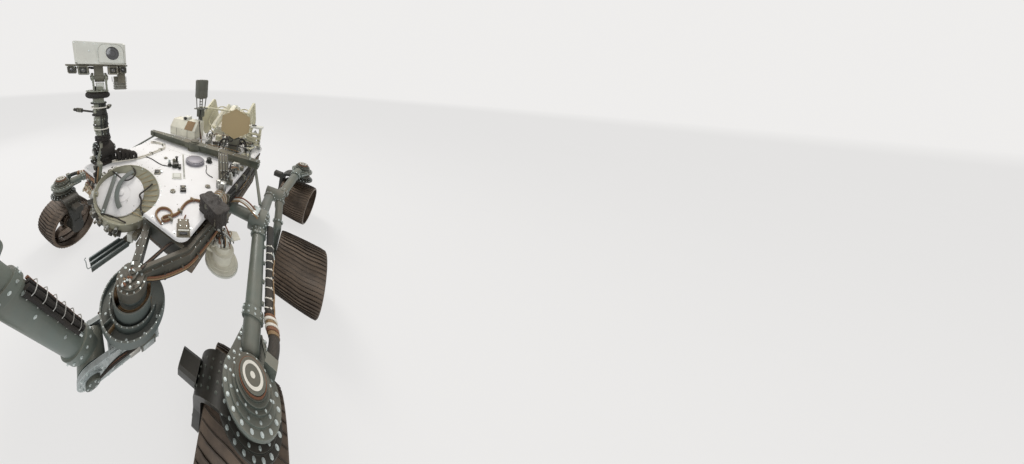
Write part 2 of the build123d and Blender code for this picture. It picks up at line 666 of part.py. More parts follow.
def shoulder_turntable():
    """The turning shoulder under the ring: a ribbed housing and the cheeks that hold the upper arm's root."""
    half = HUB_HALF + CHEEK_GAP
    reach = half + CHEEK_THICK
    front = SHOULDER_REACH - ARM_HUB_RADIUS - 12
    low, high = SHOULDER_Z - ARM_HUB_RADIUS, SHOULDER_Z + ARM_HUB_RADIUS
    parts = [
        block(((front - TURNTABLE_REAR) / 2, 0, SHOULDER_Z), (front + TURNTABLE_REAR, 2 * half, high - low)),
        stack((0, 0, SHOULDER_Z),
              ((TURNTABLE_RADIUS, 100), (TURNTABLE_RADIUS - 16, TURNTABLE_TOP - SHOULDER_Z - 100),
                                   (SPINDLE_RADIUS, SPINDLE_REACH))),
        cross_hub(SHOULDER, PIN_RADIUS, -reach - 8, reach + 8),
    ]
    for way in (-1, 1):
        y = way * (half + CHEEK_THICK / 2)
        parts.append(block(((SHOULDER_REACH - TURNTABLE_REAR) / 2, y, SHOULDER_Z),
                           (SHOULDER_REACH + TURNTABLE_REAR, CHEEK_THICK, high - low)))
        parts.append(cross_hub(SHOULDER, ARM_HUB_RADIUS, y - CHEEK_THICK / 2, y + CHEEK_THICK / 2))
        parts.append(cross_hub(SHOULDER, PIN_RADIUS + 16, way * reach - 6, way * reach + 6))
    body = joined(parts)
    for way in (-1, 1):
        body -= framed_pockets(-TURNTABLE_REAR + 6, SHOULDER_REACH - ARM_HUB_RADIUS, low + POCKET_RIB,
                               high - POCKET_RIB, way * reach, 2)
    recess = block((TURNTABLE_RECESS_X, 0, high), (40, 2 * half - 20, 2 * POCKET_DEPTH))
    return on_arm(body - recess)


def upper_arm():
    """The upper arm, from its root hub at the shoulder to the elbow pin."""
    pin_end = HUB_HALF + CHEEK_GAP + 2 * HUB_HALF
    body = joined([
        leg_tube(SHOULDER, ELBOW, UPPER_ARM_RADIUS),
        cross_hub(SHOULDER, ARM_HUB_RADIUS - 2, -HUB_HALF, HUB_HALF),
        cross_hub(ELBOW, ARM_HUB_RADIUS, -HUB_HALF, HUB_HALF),
        cross_hub(ELBOW, ARM_HUB_RADIUS - 16, -HUB_HALF - 34, 0),
        cross_hub(ELBOW, PIN_RADIUS, 0, pin_end + 8),
        cross_hub(ELBOW, PIN_RADIUS + 18, pin_end + 6, pin_end + 14),
    ])
    return on_arm(body - cross_hub(SHOULDER, PIN_RADIUS + RUNNING_GAP, -200, 200))


def forearm():
    """The forearm, from the elbow to the wrist's cheeks."""
    hub = cross_hub(ELBOW_SIDE, ARM_HUB_RADIUS, HUB_HALF + CHEEK_GAP - ELBOW_OFFSET, HUB_HALF)
    length = ARM_HUB_RADIUS * 2 + 10
    end = arm_point(WRIST, -length, -FOREARM_FALL)
    reach = HUB_HALF + CHEEK_GAP + CHEEK_THICK
    along = Location(end, (0, FOREARM_FALL, 0))
    parts = [hub, leg_tube(ELBOW_SIDE, end, FOREARM_RADIUS), along * Box(70, 2 * reach, 100),
             cross_hub(WRIST, PIN_RADIUS, -reach - 8, reach + 8)]
    for way in (-1, 1):
        y = way * (reach - CHEEK_THICK / 2)
        parts.append(along * (Pos(length / 2, y, 0) * Box(length, CHEEK_THICK, 2 * WRIST_RADIUS)))
        parts.append(cross_hub(WRIST, WRIST_RADIUS, y - CHEEK_THICK / 2, y + CHEEK_THICK / 2))
    return on_arm(joined(parts) - cross_hub(ELBOW_SIDE, PIN_RADIUS + RUNNING_GAP, -200, 200))


def wrist():
    """The wrist block that hangs from the forearm and holds the turret's spindle."""
    x, y, z = WRIST
    body = joined([
        cross_hub(WRIST, WRIST_RADIUS, -HUB_HALF, HUB_HALF),
        block((x, y, z - WRIST_DROP / 2), (2 * WRIST_RADIUS, 2 * HUB_HALF, WRIST_DROP)),
        stack((x, y, z - WRIST_DROP), ((74, 20), (68, 14))),
    ])
    bore = drum((x, y, z - WRIST_DROP - 1), TURRET_SPINDLE + RUNNING_GAP, 52)
    return on_arm(body - cross_hub(WRIST, PIN_RADIUS + RUNNING_GAP, -200, 200) - bore)


def turret_top():
    """The height of the turret's top face."""
    return WRIST[2] - WRIST_DROP - 5


def turret_core():
    """The turning core under the wrist, which carries the tools round its sides."""
    x, y, _ = WRIST
    return on_arm(stack((x, y, turret_top() - TURRET_HEIGHT), (
        (TURRET_RADIUS - 18, 16), (TURRET_RADIUS, TURRET_HEIGHT - 16), (TURRET_SPINDLE, 50))))


def drill():
    """The coring drill on the turret's front side, with its two steadying prongs."""
    x, y, _ = WRIST
    top = turret_top()
    reach = TURRET_RADIUS + SEAT_GAP
    case = chamfer(block((x + reach + 62, y, top - 70), (124, 120, 190)).edges().filter_by(Axis.Z), 14)
    nose = stack((x + reach + 66, y, top - 300), ((13, 34), (24, 18), (34, 90)))
    prongs = [rod((x + reach + 66, y + way * 46, top - 286), (x + reach + 66, y + way * 46, top - 160), 9)
              for way in (-1, 1)]
    return on_arm(joined([case, nose] + prongs))


def turret_instruments():
    """The three instrument boxes on the turret's other sides."""
    x, y, _ = WRIST
    boxes = []
    for turn, deep, wide, high in ((90, 120, 150, 190), (180, 110, 170, 150), (270, 110, 140, 200)):
        box = chamfer(Box(deep, wide, high).edges().filter_by(Axis.Z), 14)
        nozzle = drum((deep / 2 - 50, 0, -high / 2 - 24), 26, 30)
        box = Pos(TURRET_RADIUS + SEAT_GAP + deep / 2, 0, 0) * (box.fuse(nozzle))
        boxes.append(Location((x, y, turret_top() - 80), (0, 0, turn)) * box)
    return on_arm(joined(boxes))


def bit_carousel():
    """The round tool store: a bowl with a raised disc, a hub and a curved strap over it."""
    bottom = CAROUSEL_RIM - CAROUSEL_DEPTH
    inside = CAROUSEL_RADIUS - CAROUSEL_WALL
    bowl = drum((0, 0, bottom), CAROUSEL_RADIUS, CAROUSEL_DEPTH) - drum((0, 0, CAROUSEL_FLOOR), inside, 200)
    disc = stack((0, 0, CAROUSEL_FLOOR - 1), ((196, 14), (58, 10), (34, 12)))
    strap = drum((30, 130, 4), 230, 6) - drum((30, 130, 3), 196, 8)
    strap = strap & drum((0, 0, 0), inside + 1, 30)
    lugs = [Rot(0, 0, turn) * block((inside - 8, 0, (CAROUSEL_RIM + CAROUSEL_FLOOR) / 2),
                                    (24, 30, CAROUSEL_RIM - CAROUSEL_FLOOR - 14)) for turn in (20, 140, 260)]
    return on_carousel(joined([bowl, disc, strap] + lugs))


def front_tray():
    """The slatted tray that reaches forward beside the arm's shoulder, on its post from the body's face."""
    bottom = 762
    outline = [(1066, 100), (1066, 184), (1322, 150), (1298, 62), (1100, 78)]
    plate = slab(outline, bottom, 10)
    parts = [plate, block((BODY_FRONT + SEAT_GAP + 12, 142, 815), (24, 76, 130)),
             block((1034, 142, bottom + 8), (98, 66, 16))]
    for start, end in (((1072, 174), (1318, 144)), ((1076, 140), (1312, 112)), ((1090, 104), (1304, 78))):
        parts.append(beam((*start, bottom + 20), (*end, bottom + 20), 7, 30))
    return joined(parts)


def front_cameras():
    """The hazard cameras on their shelf across the nose, with lens barrels that look forward."""
    face = BODY_FRONT + SEAT_GAP
    shelf_top, reach = 812, 126
    parts = [block((face + reach / 2, -85, shelf_top - 6), (reach, 330, 12))]
    for y in (-235, -85, 65):
        gusset = Plane.XZ * make_face(Polyline((face, shelf_top - 12), (face + reach - 10, shelf_top - 12),
                                               (face + 12, shelf_top + 84), (face, shelf_top + 84),
                                               close=True))
        parts.append(Pos(0, y, 0) * extrude(gusset, 5, both=True))
    for y in (-195, -125, -40, 20):
        camera = chamfer(block((face + 92, y, shelf_top + 23), (60, 50, 46)).edges().filter_by(Axis.X), 6)
        parts += [camera, rod((face + 120, y, shelf_top + 24), (face + 142, y, shelf_top + 24), 17)]
    return joined(parts)


def calibration_target():
    """The arm's calibration plate: round and square wells in a plate with three lugs, on a stand."""
    half = TARGET_HEIGHT / 2
    plate = extrude(RectangleRounded(TARGET_WIDTH, TARGET_HEIGHT, 3), TARGET_THICK)
    lugs = [slab([(-26, half - 1), (26, half - 1), (8, half + 20), (-8, half + 20)], 0, TARGET_THICK - 4)]
    for way in (-1, 1):
        lugs.append(slab([(way * 44, 1 - half), (way * 75, 1 - half), (way * 72, -half - 16),
                          (way * 60, -half - 16)],
                         0, TARGET_THICK - 4))
    wells = [drum((WELL_SPACING * column, WELL_ROW, TARGET_THICK - WELL_DEPTH), WELL_SIZE / 2, 9)
             for column in (-2, -1, 0, 1, 2)]
    wells.append(drum((-2 * WELL_SPACING, -WELL_ROW, TARGET_THICK - WELL_DEPTH), WELL_SIZE / 2, 9))
    wells += [Pos(WELL_SPACING * column, -WELL_ROW, TARGET_THICK) * Box(WELL_SIZE, WELL_SIZE, 2 * WELL_DEPTH)
              for column in (-1, 0, 1, 2)]
    stand_x, stand_z = BODY_FRONT + SEAT_GAP, 925
    facing = Plane(origin=(stand_x + 62, -430, stand_z), x_dir=(0, 1, 0), z_dir=(0.74, 0, 0.67))
    stand = beam((stand_x, -430, stand_z - 36), (stand_x + 66, -430, stand_z - 2), 60, 24)
    return (facing * (joined([plate] + lugs) - joined(wells))).fuse(stand) - behind(stand_x)


def side_canister():
    """The flanged canister on the body's left side near its front, with its bracket and top plate."""
    place = (CANISTER_X, CANISTER_Y, 694)
    can = stack(place, ((96, 8), (104, 26), (88, 10), (66, 72), (74, 12), (52, 40), (30, 26)))
    side = BODY_HALF_WIDTH + SEAT_GAP
    bracket = block((CANISTER_X, (side + CANISTER_Y) / 2, 790), (90, CANISTER_Y - side, 26))
    foot = block((CANISTER_X, side + 6, 790), (130, 12, 110))
    plate = slab([(560, 760), (600, 800), (770, 680), (740, 620), (640, 620)], 872, 6)
    stay = block((700, 640, 830), (16, 90, 90))
    return joined([can, bracket, foot, plate, stay])


def blanket_box():
    """The instrument box under a dark blanket, over the deck's left edge."""
    side = BODY_HALF_WIDTH
    outline = [(752, side - 48), (640, side - 10), (722, side + 178), (838, side + 138)]
    return slab(outline, DECK_TOP + SEAT_GAP, 124)


def deck_fixtures():
    """The discs, plates, ruler strip and ribbed wedge on the deck."""
    base = DECK_TOP + SEAT_GAP
    discs = (
        # x, y, steps of radius and height
        (219, 181, ((95, 30), (84, 8))), (120, 290, ((34, 8), (24, 40))), (408, 82, ((40, 12), (26, 26))),
        (719, 302, ((22, 12),)), (347, -106, ((20, 12),)), (492, 480, ((22, 12),)), (330, 30, ((16, 40),)),
    )
    plates = (
        # x, y, length, width, height, turn
        (538, 198, 84, 84, 8, 38), (600, 20, 78, 60, 6, 38), (650, 350, 60, 46, 22, 38),
        (340, 126, 470, 18, 4, 38),
    )
    parts = [stack((x, y, base), steps) for x, y, steps in discs]
    parts += [block((x, y, base + height / 2), (length, width, height), turn)
              for x, y, length, width, height, turn in plates]
    foot, head = (395, 575, base + 26), (160, 446, base + 150)
    wedge = beam(foot, head, 88, 40)
    ribs = [beam((foot[0] + across * 0.48, foot[1] - across * 0.87, foot[2] + 18),
                 (head[0] + across * 0.48, head[1] - across * 0.87, head[2] + 18), 10, 26)
                 for across in (-34, 0, 34)]
    post = drum((175, 455, base), 22, 140)
    wedge = joined([wedge, post] + ribs) - block((300, 500, base - 100), (600, 600, 200))
    return joined(parts + [wedge])


def corner_camera():
    """The small camera box on the deck's front left corner."""
    base = DECK_TOP + SEAT_GAP
    body = chamfer(block((948, 572, base + 30), (78, 66, 46), 38).edges().group_by(Axis.Z)[-1], 8)
    return joined([block((948, 572, base + 4), (90, 78, 8), 38), body])


def rear_box():
    """The white electronics box on the deck's right rear, with its sloped front edge."""
    base = DECK_TOP + SEAT_GAP
    back, front = REAR_BOX_X - 125, REAR_BOX_X + 125
    outline = Polyline((back, base), (front, base), (front, base + 120), (front - 90, REAR_BOX_TOP),
                       (back, REAR_BOX_TOP), close=True)
    box = Pos(0, REAR_BOX_Y, 0) * extrude(Plane.XZ * make_face(outline), 215, both=True)
    return fillet(box.edges().filter_by(Axis.Y).sort_by(Axis.Z)[-3:], 14)


def relay_antenna():
    """The upright relay antenna: a drum on an open truss, over its bracket and post."""
    base = DECK_TOP + SEAT_GAP
    parts = [
        stack((RELAY_X, RELAY_Y, base), ((44, 12), (30, RELAY_POST_TOP - base - 12))),
        block((RELAY_X, RELAY_Y, (RELAY_POST_TOP + RELAY_PLATE_Z) / 2),
              (78, 84, RELAY_PLATE_Z - RELAY_POST_TOP)),
        block((RELAY_X, RELAY_Y, RELAY_PLATE_Z + 6), (150, 140, 12)),
        stack((RELAY_X, RELAY_Y, RELAY_BOTTOM - 14),
              ((RELAY_RADIUS - 8, 14), (RELAY_RADIUS, RELAY_TOP - RELAY_BOTTOM),
                                                      (RELAY_RADIUS - 10, 8))),
    ]
    for turn in (45, 135, 225, 315):
        out = (cos(radians(turn)), sin(radians(turn)))
        parts.append(rod((RELAY_X + 58 * out[0], RELAY_Y + 58 * out[1], RELAY_PLATE_Z + 10),
                         (RELAY_X + 70 * out[0], RELAY_Y + 70 * out[1], RELAY_BOTTOM - 12), 7))
    return joined(parts)


def antenna_post():
    """The short post under the dish."""
    base = DECK_TOP + SEAT_GAP
    steps = ((92, 14), (DISH_POST_RADIUS, DISH_POST_TOP - base - 34), (DISH_POST_RADIUS + 8, 20))
    return stack((DISH_X, DISH_Y, base), steps) - drum((DISH_X, DISH_Y, DISH_POST_TOP - 60),
                                                      AXLE_RADIUS + RUNNING_GAP, 61)


def dish_yoke():
    """The turning fork that holds the dish at its two sides."""
    base = DISH_POST_TOP + 5
    parts = [stack((0, 0, base - 55), ((AXLE_RADIUS, 56), (DISH_POST_RADIUS, 24)))]
    arm = DISH_Z - base
    for way in (-1, 1):
        parts.append(block((0, way * 52, base + arm / 2), (50, 16, arm)))
        parts.append(rod((0, way * 44, DISH_Z), (0, way * 64, DISH_Z), 27))
    parts.append(rod((0, -60, DISH_Z), (0, 60, DISH_Z), DISH_AXLE_RADIUS))
    return Location((DISH_X, DISH_Y, 0), (0, 0, DISH_TURN)) * joined(parts)


def dish():
    """The six-sided flat dish with its rim and back hub, about the tilt axis."""
    outline = RegularPolygon(DISH_ACROSS / 2, 6)
    plate = extrude(outline, DISH_THICK) - Pos(0, 0, DISH_THICK - 4) * extrude(offset(outline, -9), 10)
    face = Location((DISH_FACE_REACH, 0, 0), (0, 90, 0)) * plate
    back = Location((DISH_FACE_REACH - 12, 0, 0), (0, 90, 0)) * extrude(RegularPolygon(86, 6), 14)
    stem = block((DISH_FACE_REACH / 2, 0, 0), (DISH_FACE_REACH + 2, 60, 48))
    hub = joined([rod((0, -39, 0), (0, 39, 0), 24), stem, back, face])
    hub = hub - rod((0, -60, 0), (0, 60, 0), DISH_AXLE_RADIUS + RUNNING_GAP)
    return Location((DISH_X, DISH_Y, DISH_Z), (0, 0, DISH_TURN)) * (Rot(0, -DISH_TILT, 0) * hub)


def generator():
    """The finned generator behind the body, tilted up towards its free end, on its foot."""
    half = GENERATOR_LENGTH / 2
    core = [stack((0, 0, -half), ((GENERATOR_RADIUS - 34, 14), (GENERATOR_RADIUS, GENERATOR_LENGTH - 60),
                                  (GENERATOR_RADIUS - 8, 24), (GENERATOR_RADIUS - 40, 22)))]
    fin = Polyline((0, -half + 20), (GENERATOR_FIN_REACH - 30, -half + 20), (GENERATOR_FIN_REACH, -half + 60),
                   (GENERATOR_FIN_REACH, half - 80), (GENERATOR_FIN_REACH - 30, half - 50), (0, half - 50),
                   close=True)
    fin = extrude(Plane.XZ * make_face(fin), GENERATOR_FIN_THICK / 2, both=True)
    turns = [360 / GENERATOR_FINS * (i + 0.5) for i in range(GENERATOR_FINS)]
    body = joined(core + [Rot(0, 0, turn) * fin for turn in turns])
    body = Location((GENERATOR_X, 0, GENERATOR_Z), (0, -90 + GENERATOR_TILT, 0)) * body
    foot = beam((BODY_REAR, 0, 930), (GENERATOR_X + 150, 0, GENERATOR_Z - 90), 190, 110)
    stay = foot - block((BODY_REAR + 200 - SEAT_GAP, 0, 900), (400, 400, 700))
    pad = block((BODY_REAR - SEAT_GAP - 7, 0, 945), (14, 300, 180))
    return joined([body, stay, pad])


def generator_panels():
    """The two heat panels beside the generator, on arms from the body's tail, joined by a bar in front."""
    parts = []
    for side in (LEFT, RIGHT):
        y = side * PANEL_SIDE
        place = Location((GENERATOR_X, y, GENERATOR_Z + 25), (0, GENERATOR_TILT, 0))
        plate = chamfer(Box(PANEL_LENGTH, PANEL_THICK, PANEL_HEIGHT).edges().filter_by(Axis.Y), 40)
        parts.append(place * plate)
        for way in (-1, 0, 1):
            parts.append(place * (Pos(way * 170, side * 14, 0) * Box(12, 16, PANEL_HEIGHT - 60)))
        root = BODY_REAR - SEAT_GAP
        for low, high in ((850, 1120), (960, 1290)):
            parts.append(rod((root, y, low), (GENERATOR_X + 190, y, high), 13))
        parts.append(block((root - 6, y, 930), (12, 70, 220)))
        parts.append(rod((PANEL_BAR_X, y, PANEL_BAR_Z), (GENERATOR_X + 60, y, GENERATOR_Z + 120), 12))
    parts.append(rod((PANEL_BAR_X, -PANEL_SIDE - 60, PANEL_BAR_Z),
                     (PANEL_BAR_X, PANEL_SIDE + 60, PANEL_BAR_Z), 14))
    return joined(parts) - block((BODY_REAR + 200 - SEAT_GAP, 0, 900), (400, 1200, 900))


def differential_bar():
    """The bar across the deck that levels the two rockers, pocketed at its sides, on its middle pivot."""
    half, end, wide = BAR_HALF_LENGTH, BAR_END_WIDTH / 2, BAR_WIDTH / 2
    outline = [(BAR_X - end, -half), (BAR_X + end, -half), (BAR_X + wide, 0), (BAR_X + end, half),
               (BAR_X - end, half), (BAR_X - wide, 0)]
    bar = slab(outline, BAR_BOTTOM, BAR_HEIGHT)
    pockets = []
    for way in (-1, 1):
        for side in (LEFT, RIGHT):
            near, far = wide - BAR_POCKET - 3, end - BAR_POCKET + 3
            pockets.append(slab([(BAR_X + way * near, side * 96), (BAR_X + way * 200, side * 96),
                                 (BAR_X + way * 200, side * (half - 60)),
                                 (BAR_X + way * far, side * (half - 60))],
                                BAR_BOTTOM + 10, BAR_HEIGHT - 20))
    hub = stack((BAR_X, 0, DECK_TOP + SEAT_GAP),
                ((BAR_HUB_RADIUS + 14, 12), (BAR_HUB_RADIUS, BAR_HEIGHT + 22),
                                                  (BAR_HUB_RADIUS - 18, 12)))
    return (bar - joined(pockets)).fuse(hub)


def differential_link(side):
    """The rod from the bar's end down to the rocker, with a round eye at its top."""
    top = (BAR_X, side * (BAR_HALF_LENGTH - 24), BAR_BOTTOM - LINK_EYE - SEAT_GAP)
    bottom = (ROCKER_PIVOT_X - 60, side * (ROCKER_PIVOT_Y - 20), ROCKER_PIVOT_Z + ROCKER_HUB_RADIUS + 2)
    return joined([Sphere(LINK_EYE).locate(Location(top)), rod(top, bottom, LINK_RADIUS)])


def mast_base():
    """The mast's foot and its latched deploy hinge: a drum across the foot between two cheeks."""
    base = DECK_TOP + SEAT_GAP
    foot = fillet(block((MAST_X, MAST_Y, base + 9), (230, 190, 18)).edges().filter_by(Axis.Z), 24)
    parts = [foot, stack((MAST_X, MAST_Y, HINGE_Z), ((66, 70), (58, MAST_BASE_TOP - HINGE_Z - 70))),
             stack((MAST_X - 84, MAST_Y, HINGE_Z), ((60, 12), (HINGE_RADIUS, 144), (60, 12)), (1, 0, 0))]
    cheek = [(-70, base - HINGE_Z), (70, base - HINGE_Z), (44, 30), (-44, 30)]
    for x in (MAST_X - 66, MAST_X + 52):
        face = Plane.YZ * make_face(Polyline(*cheek, close=True))
        parts.append(Pos(x, MAST_Y, HINGE_Z) * extrude(face, 14))
    return joined(parts)


def mast_tube():
    """The mast's tube with its collars and the fixed part of its pan drive."""
    tube = joined([
        drum((MAST_X, MAST_Y, MAST_BASE_TOP), MAST_RADIUS, MAST_TOP - MAST_BASE_TOP),
        stack((MAST_X, MAST_Y, MAST_TOP - 20),
              ((MAST_RADIUS + 16, 16), (PAN_RADIUS, PAN_TOP - MAST_TOP + 4))),
        drum((MAST_X, MAST_Y, 1374), MAST_RADIUS + 12, 26),
        drum((MAST_X, MAST_Y, 1522), MAST_RADIUS + 12, 26),
    ])
    return tube - drum((MAST_X, MAST_Y, PAN_TOP - 40), AXLE_RADIUS + RUNNING_GAP, 41)


def wind_booms():
    """The two wind sensor booms that stand out from the mast."""
    z, length = 1600, 205
    collar = stack((MAST_X, MAST_Y, z - 24), ((MAST_RADIUS + 14, 48),))
    collar -= drum((MAST_X, MAST_Y, z - 40), MAST_RADIUS + SEAT_GAP, 80)
    parts = [collar]
    for turn in (215, 310):
        out = (cos(radians(turn)), sin(radians(turn)), 0.12)
        root = (MAST_X + (MAST_RADIUS + 8) * out[0], MAST_Y + (MAST_RADIUS + 8) * out[1], z)
        parts.append(stack(root, ((10, length - 90), (21, 52), (15, 26)), tuple(Vector(*out).normalized())))
    return joined(parts)


def on_head(shape):
    """A piece of the head, moved from the head's own frame to the mast's top."""
    return Location((MAST_X, MAST_Y, 0), (0, 0, HEAD_TURN)) * shape


def tilt_rod(half, radius):
    """A round bar along the head's tilt axis, about the middle of its yoke."""
    return rod((0, TILT_SIDE - half, TILT_Z), (0, TILT_SIDE + half, TILT_Z), radius)


def mast_yoke():
    """The turning yoke on the mast, with its cable wrap and the tapered cheeks of the tilt axis."""
    parts = [stack((0, 0, PAN_TOP - 35), ((AXLE_RADIUS, 42), (62, 42), (100, 8))),
             Pos(0, 0, WRAP_Z) * Torus(WRAP_RADIUS, WRAP_THICK)]
    for way in (-1, 1):
        cheek = Plane.XZ * make_face(Polyline((-46, YOKE_BOTTOM + 40), (46, YOKE_BOTTOM + 40), (32, TILT_Z),
                                              (-32, TILT_Z), close=True))
        parts.append(Pos(0, TILT_SIDE + way * (TILT_HALF + 13), 0) * extrude(cheek, 8, both=True))
        parts.append(stack((0, TILT_SIDE + way * (TILT_HALF + 5), TILT_Z), ((42, 16), (30, 8)), (0, way, 0)))
    parts.append(tilt_rod(TILT_HALF + 20, TILT_PIN_RADIUS))
    return on_head(joined(parts))


def camera_bar():
    """The tilting bar under the head, which carries the four cameras and a finned electronics box."""
    under = BAR_PLATE_TOP - BAR_PLATE_THICK
    neck = block((0, TILT_SIDE, (TILT_Z + under) / 2), (70, 80, under - TILT_Z))
    bar = block((20, TILT_SIDE, under + BAR_PLATE_THICK / 2), (120, 510, BAR_PLATE_THICK))
    bar = fillet(bar.edges().filter_by(Axis.Z), 20)
    box_y = TILT_SIDE + 192
    box = block((-92, box_y, FINNED_BOX_Z), (56, 112, 130))
    hanger = block((-72, box_y + 14, (FINNED_BOX_Z + under) / 2), (74, 72, under - FINNED_BOX_Z))
    fins = [block((-92, box_y, FINNED_BOX_Z - 56 + 16 * i), (80, 128, 6)) for i in range(5)]
    bore = tilt_rod(2 * TILT_HALF, TILT_PIN_RADIUS + RUNNING_GAP)
    return on_head(joined([tilt_rod(TILT_HALF, 40), neck, bar, box, hanger] + fins) - bore)


def mast_head():
    """The boxed head on the bar: a chamfered case, its front plate and the arch round its window opening."""
    middle = HEAD_BOTTOM + HEAD_HEIGHT / 2
    case = block((HEAD_FORWARD, HEAD_SIDE, middle),
                 (HEAD_DEPTH - 2 * FACE_PLATE_THICK, HEAD_WIDTH, HEAD_HEIGHT))
    case = chamfer(case.edges().filter_by(Axis.Z), HEAD_EDGE)
    case = chamfer(case.edges().group_by(Axis.Z)[-1], 8)
    front = HEAD_FORWARD + HEAD_DEPTH / 2 - FACE_PLATE_THICK
    plate = block((front, HEAD_SIDE + HEAD_WIDTH / 2 - HEAD_EDGE - FACE_PLATE_WIDTH / 2, middle - 2),
                  (2 * FACE_PLATE_THICK, FACE_PLATE_WIDTH, HEAD_HEIGHT - 22))
    plate = fillet(plate.edges().filter_by(Axis.X).sort_by(Axis.Z)[-2:], 60)
    hole = drum((front + FACE_PLATE_THICK - WINDOW_DEPTH, WINDOW_SIDE, middle), WINDOW_RADIUS, 60, (1, 0, 0))
    return on_head(joined([case, plate]) - hole)


def head_window():
    """The dark glass in the head's round opening."""
    back = HEAD_FORWARD + HEAD_DEPTH / 2 - WINDOW_DEPTH + SEAT_GAP
    return on_head(drum((back, WINDOW_SIDE, HEAD_BOTTOM + HEAD_HEIGHT / 2), WINDOW_RADIUS - SEAT_GAP, 18,
                        (1, 0, 0)))


def mast_cameras():
    """The two round outer cameras and the two boxed inner cameras that hang on the bar."""
    cameras = []
    for way in (-1, 1):
        outer = TILT_SIDE + way * BAR_CAMERA_SPACING / 2
        inner = TILT_SIDE + way * EYE_CAMERA_SPACING / 2
        box = chamfer(block((26, outer, CAMERA_TOP - 31), (92, 62, 62)).edges().filter_by(Axis.X), 8)
        barrel = drum((70, outer, CAMERA_TOP - 31), 26, 16, (1, 0, 0)) - drum((78, outer, CAMERA_TOP - 31),
                                                                              20, 12,
                                                                            (1, 0, 0))
        cameras.append(box.fuse(barrel))
        case = chamfer(block((26, inner, CAMERA_TOP - 37), (150, 84, 74)).edges().filter_by(Axis.X), 6)
        shade = block((101, inner, CAMERA_TOP - 37), (24, 56, 48))
        cameras.append(case - shade)
    return on_head(joined(cameras))


def single_pieces():
    """The pieces that there is one of, by name."""
    makers = (
        body_tub, top_deck, belly_plate, arm_bracket, shoulder_ring, bit_carousel, front_tray, front_cameras,
        calibration_target, side_canister, blanket_box, deck_fixtures, corner_camera, rear_box, relay_antenna,
        antenna_post, generator, generator_panels, differential_bar, mast_base, mast_tube, wind_booms,
        mast_yoke,
        camera_bar, mast_head, head_window, mast_cameras, dish_yoke, dish, shoulder_turntable, upper_arm,
        forearm,
        wrist, turret_core, drill, turret_instruments,
    )
    return {maker.__name__: maker() for maker in makers}


def nodes():
    """Every piece by its name, in the design frame."""
    found = single_pieces()
    plain_wheel = wheel()
    forks = {side: corner_fork(side) for side in (LEFT, RIGHT)}
    for name, side in (("left", LEFT), ("right", RIGHT)):
        found["rocker_" + name] = rocker(side)
        found["bogie_" + name] = bogie(side)
        found["rocker_cable_" + name] = rocker_cable(side)
        found["differential_link_" + name] = differential_link(side)
        found["wheel_middle_" + name] = Pos(0, side * MIDDLE_TRACK_Y, WHEEL_RADIUS) * plain_wheel
        for end, x in (("front", FRONT_AXLE_X), ("rear", REAR_AXLE_X)):
            y = side * CORNER_TRACK_Y
            place = Location((x, y, WHEEL_RADIUS), (0, 0, corner_steer(x, side)))
            found["wheel_" + end + "_" + name] = place * plain_wheel
            found["fork_" + end + "_" + name] = place * forks[side]
            found["steering_drive_" + end + "_" + name] = steering_drive(x, y)
    return found


def main():
    """Moves the rover over its origin and writes one file for each piece."""
    pieces = nodes()
    boxes = [shape.bounding_box() for shape in pieces.values()]
    low = [min(box.min.X for box in boxes), min(box.min.Y for box in boxes), min(box.min.Z for box in boxes)]
    high = [max(box.max.X for box in boxes), max(box.max.Y for box in boxes)]
    shift = Pos(-(low[0] + high[0]) / 2, -(low[1] + high[1]) / 2, -low[2])
    os.makedirs("parts", exist_ok=True)
    for name, shape in pieces.items():
        export_step(shift * shape, "parts/" + name + ".step")


if __name__ == "__main__":
    main()
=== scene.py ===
"""A planetary rover's finishes and small parts, laid out as an add-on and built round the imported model.

Every piece is drawn in millimetres of the design frame or of a local frame on it. Its place is in its mesh.
"""

import random
from itertools import product
from math import cos, pi, radians, sin, sqrt

import bmesh
import bpy
from mathutils import Matrix, Vector, noise


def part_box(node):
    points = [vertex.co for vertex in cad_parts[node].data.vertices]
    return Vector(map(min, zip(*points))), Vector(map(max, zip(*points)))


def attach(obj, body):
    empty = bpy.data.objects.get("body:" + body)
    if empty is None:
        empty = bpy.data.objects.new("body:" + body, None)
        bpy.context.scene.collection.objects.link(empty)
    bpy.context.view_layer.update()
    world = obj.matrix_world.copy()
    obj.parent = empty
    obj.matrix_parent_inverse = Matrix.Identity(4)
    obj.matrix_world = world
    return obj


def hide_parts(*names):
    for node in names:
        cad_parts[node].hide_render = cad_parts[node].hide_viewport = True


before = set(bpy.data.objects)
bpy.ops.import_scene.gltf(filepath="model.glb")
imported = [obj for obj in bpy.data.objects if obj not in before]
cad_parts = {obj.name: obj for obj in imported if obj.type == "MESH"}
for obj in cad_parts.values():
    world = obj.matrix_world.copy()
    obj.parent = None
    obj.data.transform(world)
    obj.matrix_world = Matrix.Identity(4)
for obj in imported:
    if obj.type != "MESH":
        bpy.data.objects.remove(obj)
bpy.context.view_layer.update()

bl_info = {
    "name": "Planetary Rover Details",
    "version": (1, 0, 0),
    "blender": (4, 5, 0),
    "location": "3D View > Sidebar > Rover",
    "description": "Finishes and small parts for the rover's packed frame",
    "category": "Object",
}

MM = 0.001
SIDES = (("left", 1), ("right", -1))
AHEAD, LEFTWARD, UP, DOWN = (1, 0, 0), (0, 1, 0), (0, 0, 1), (0, 0, -1)

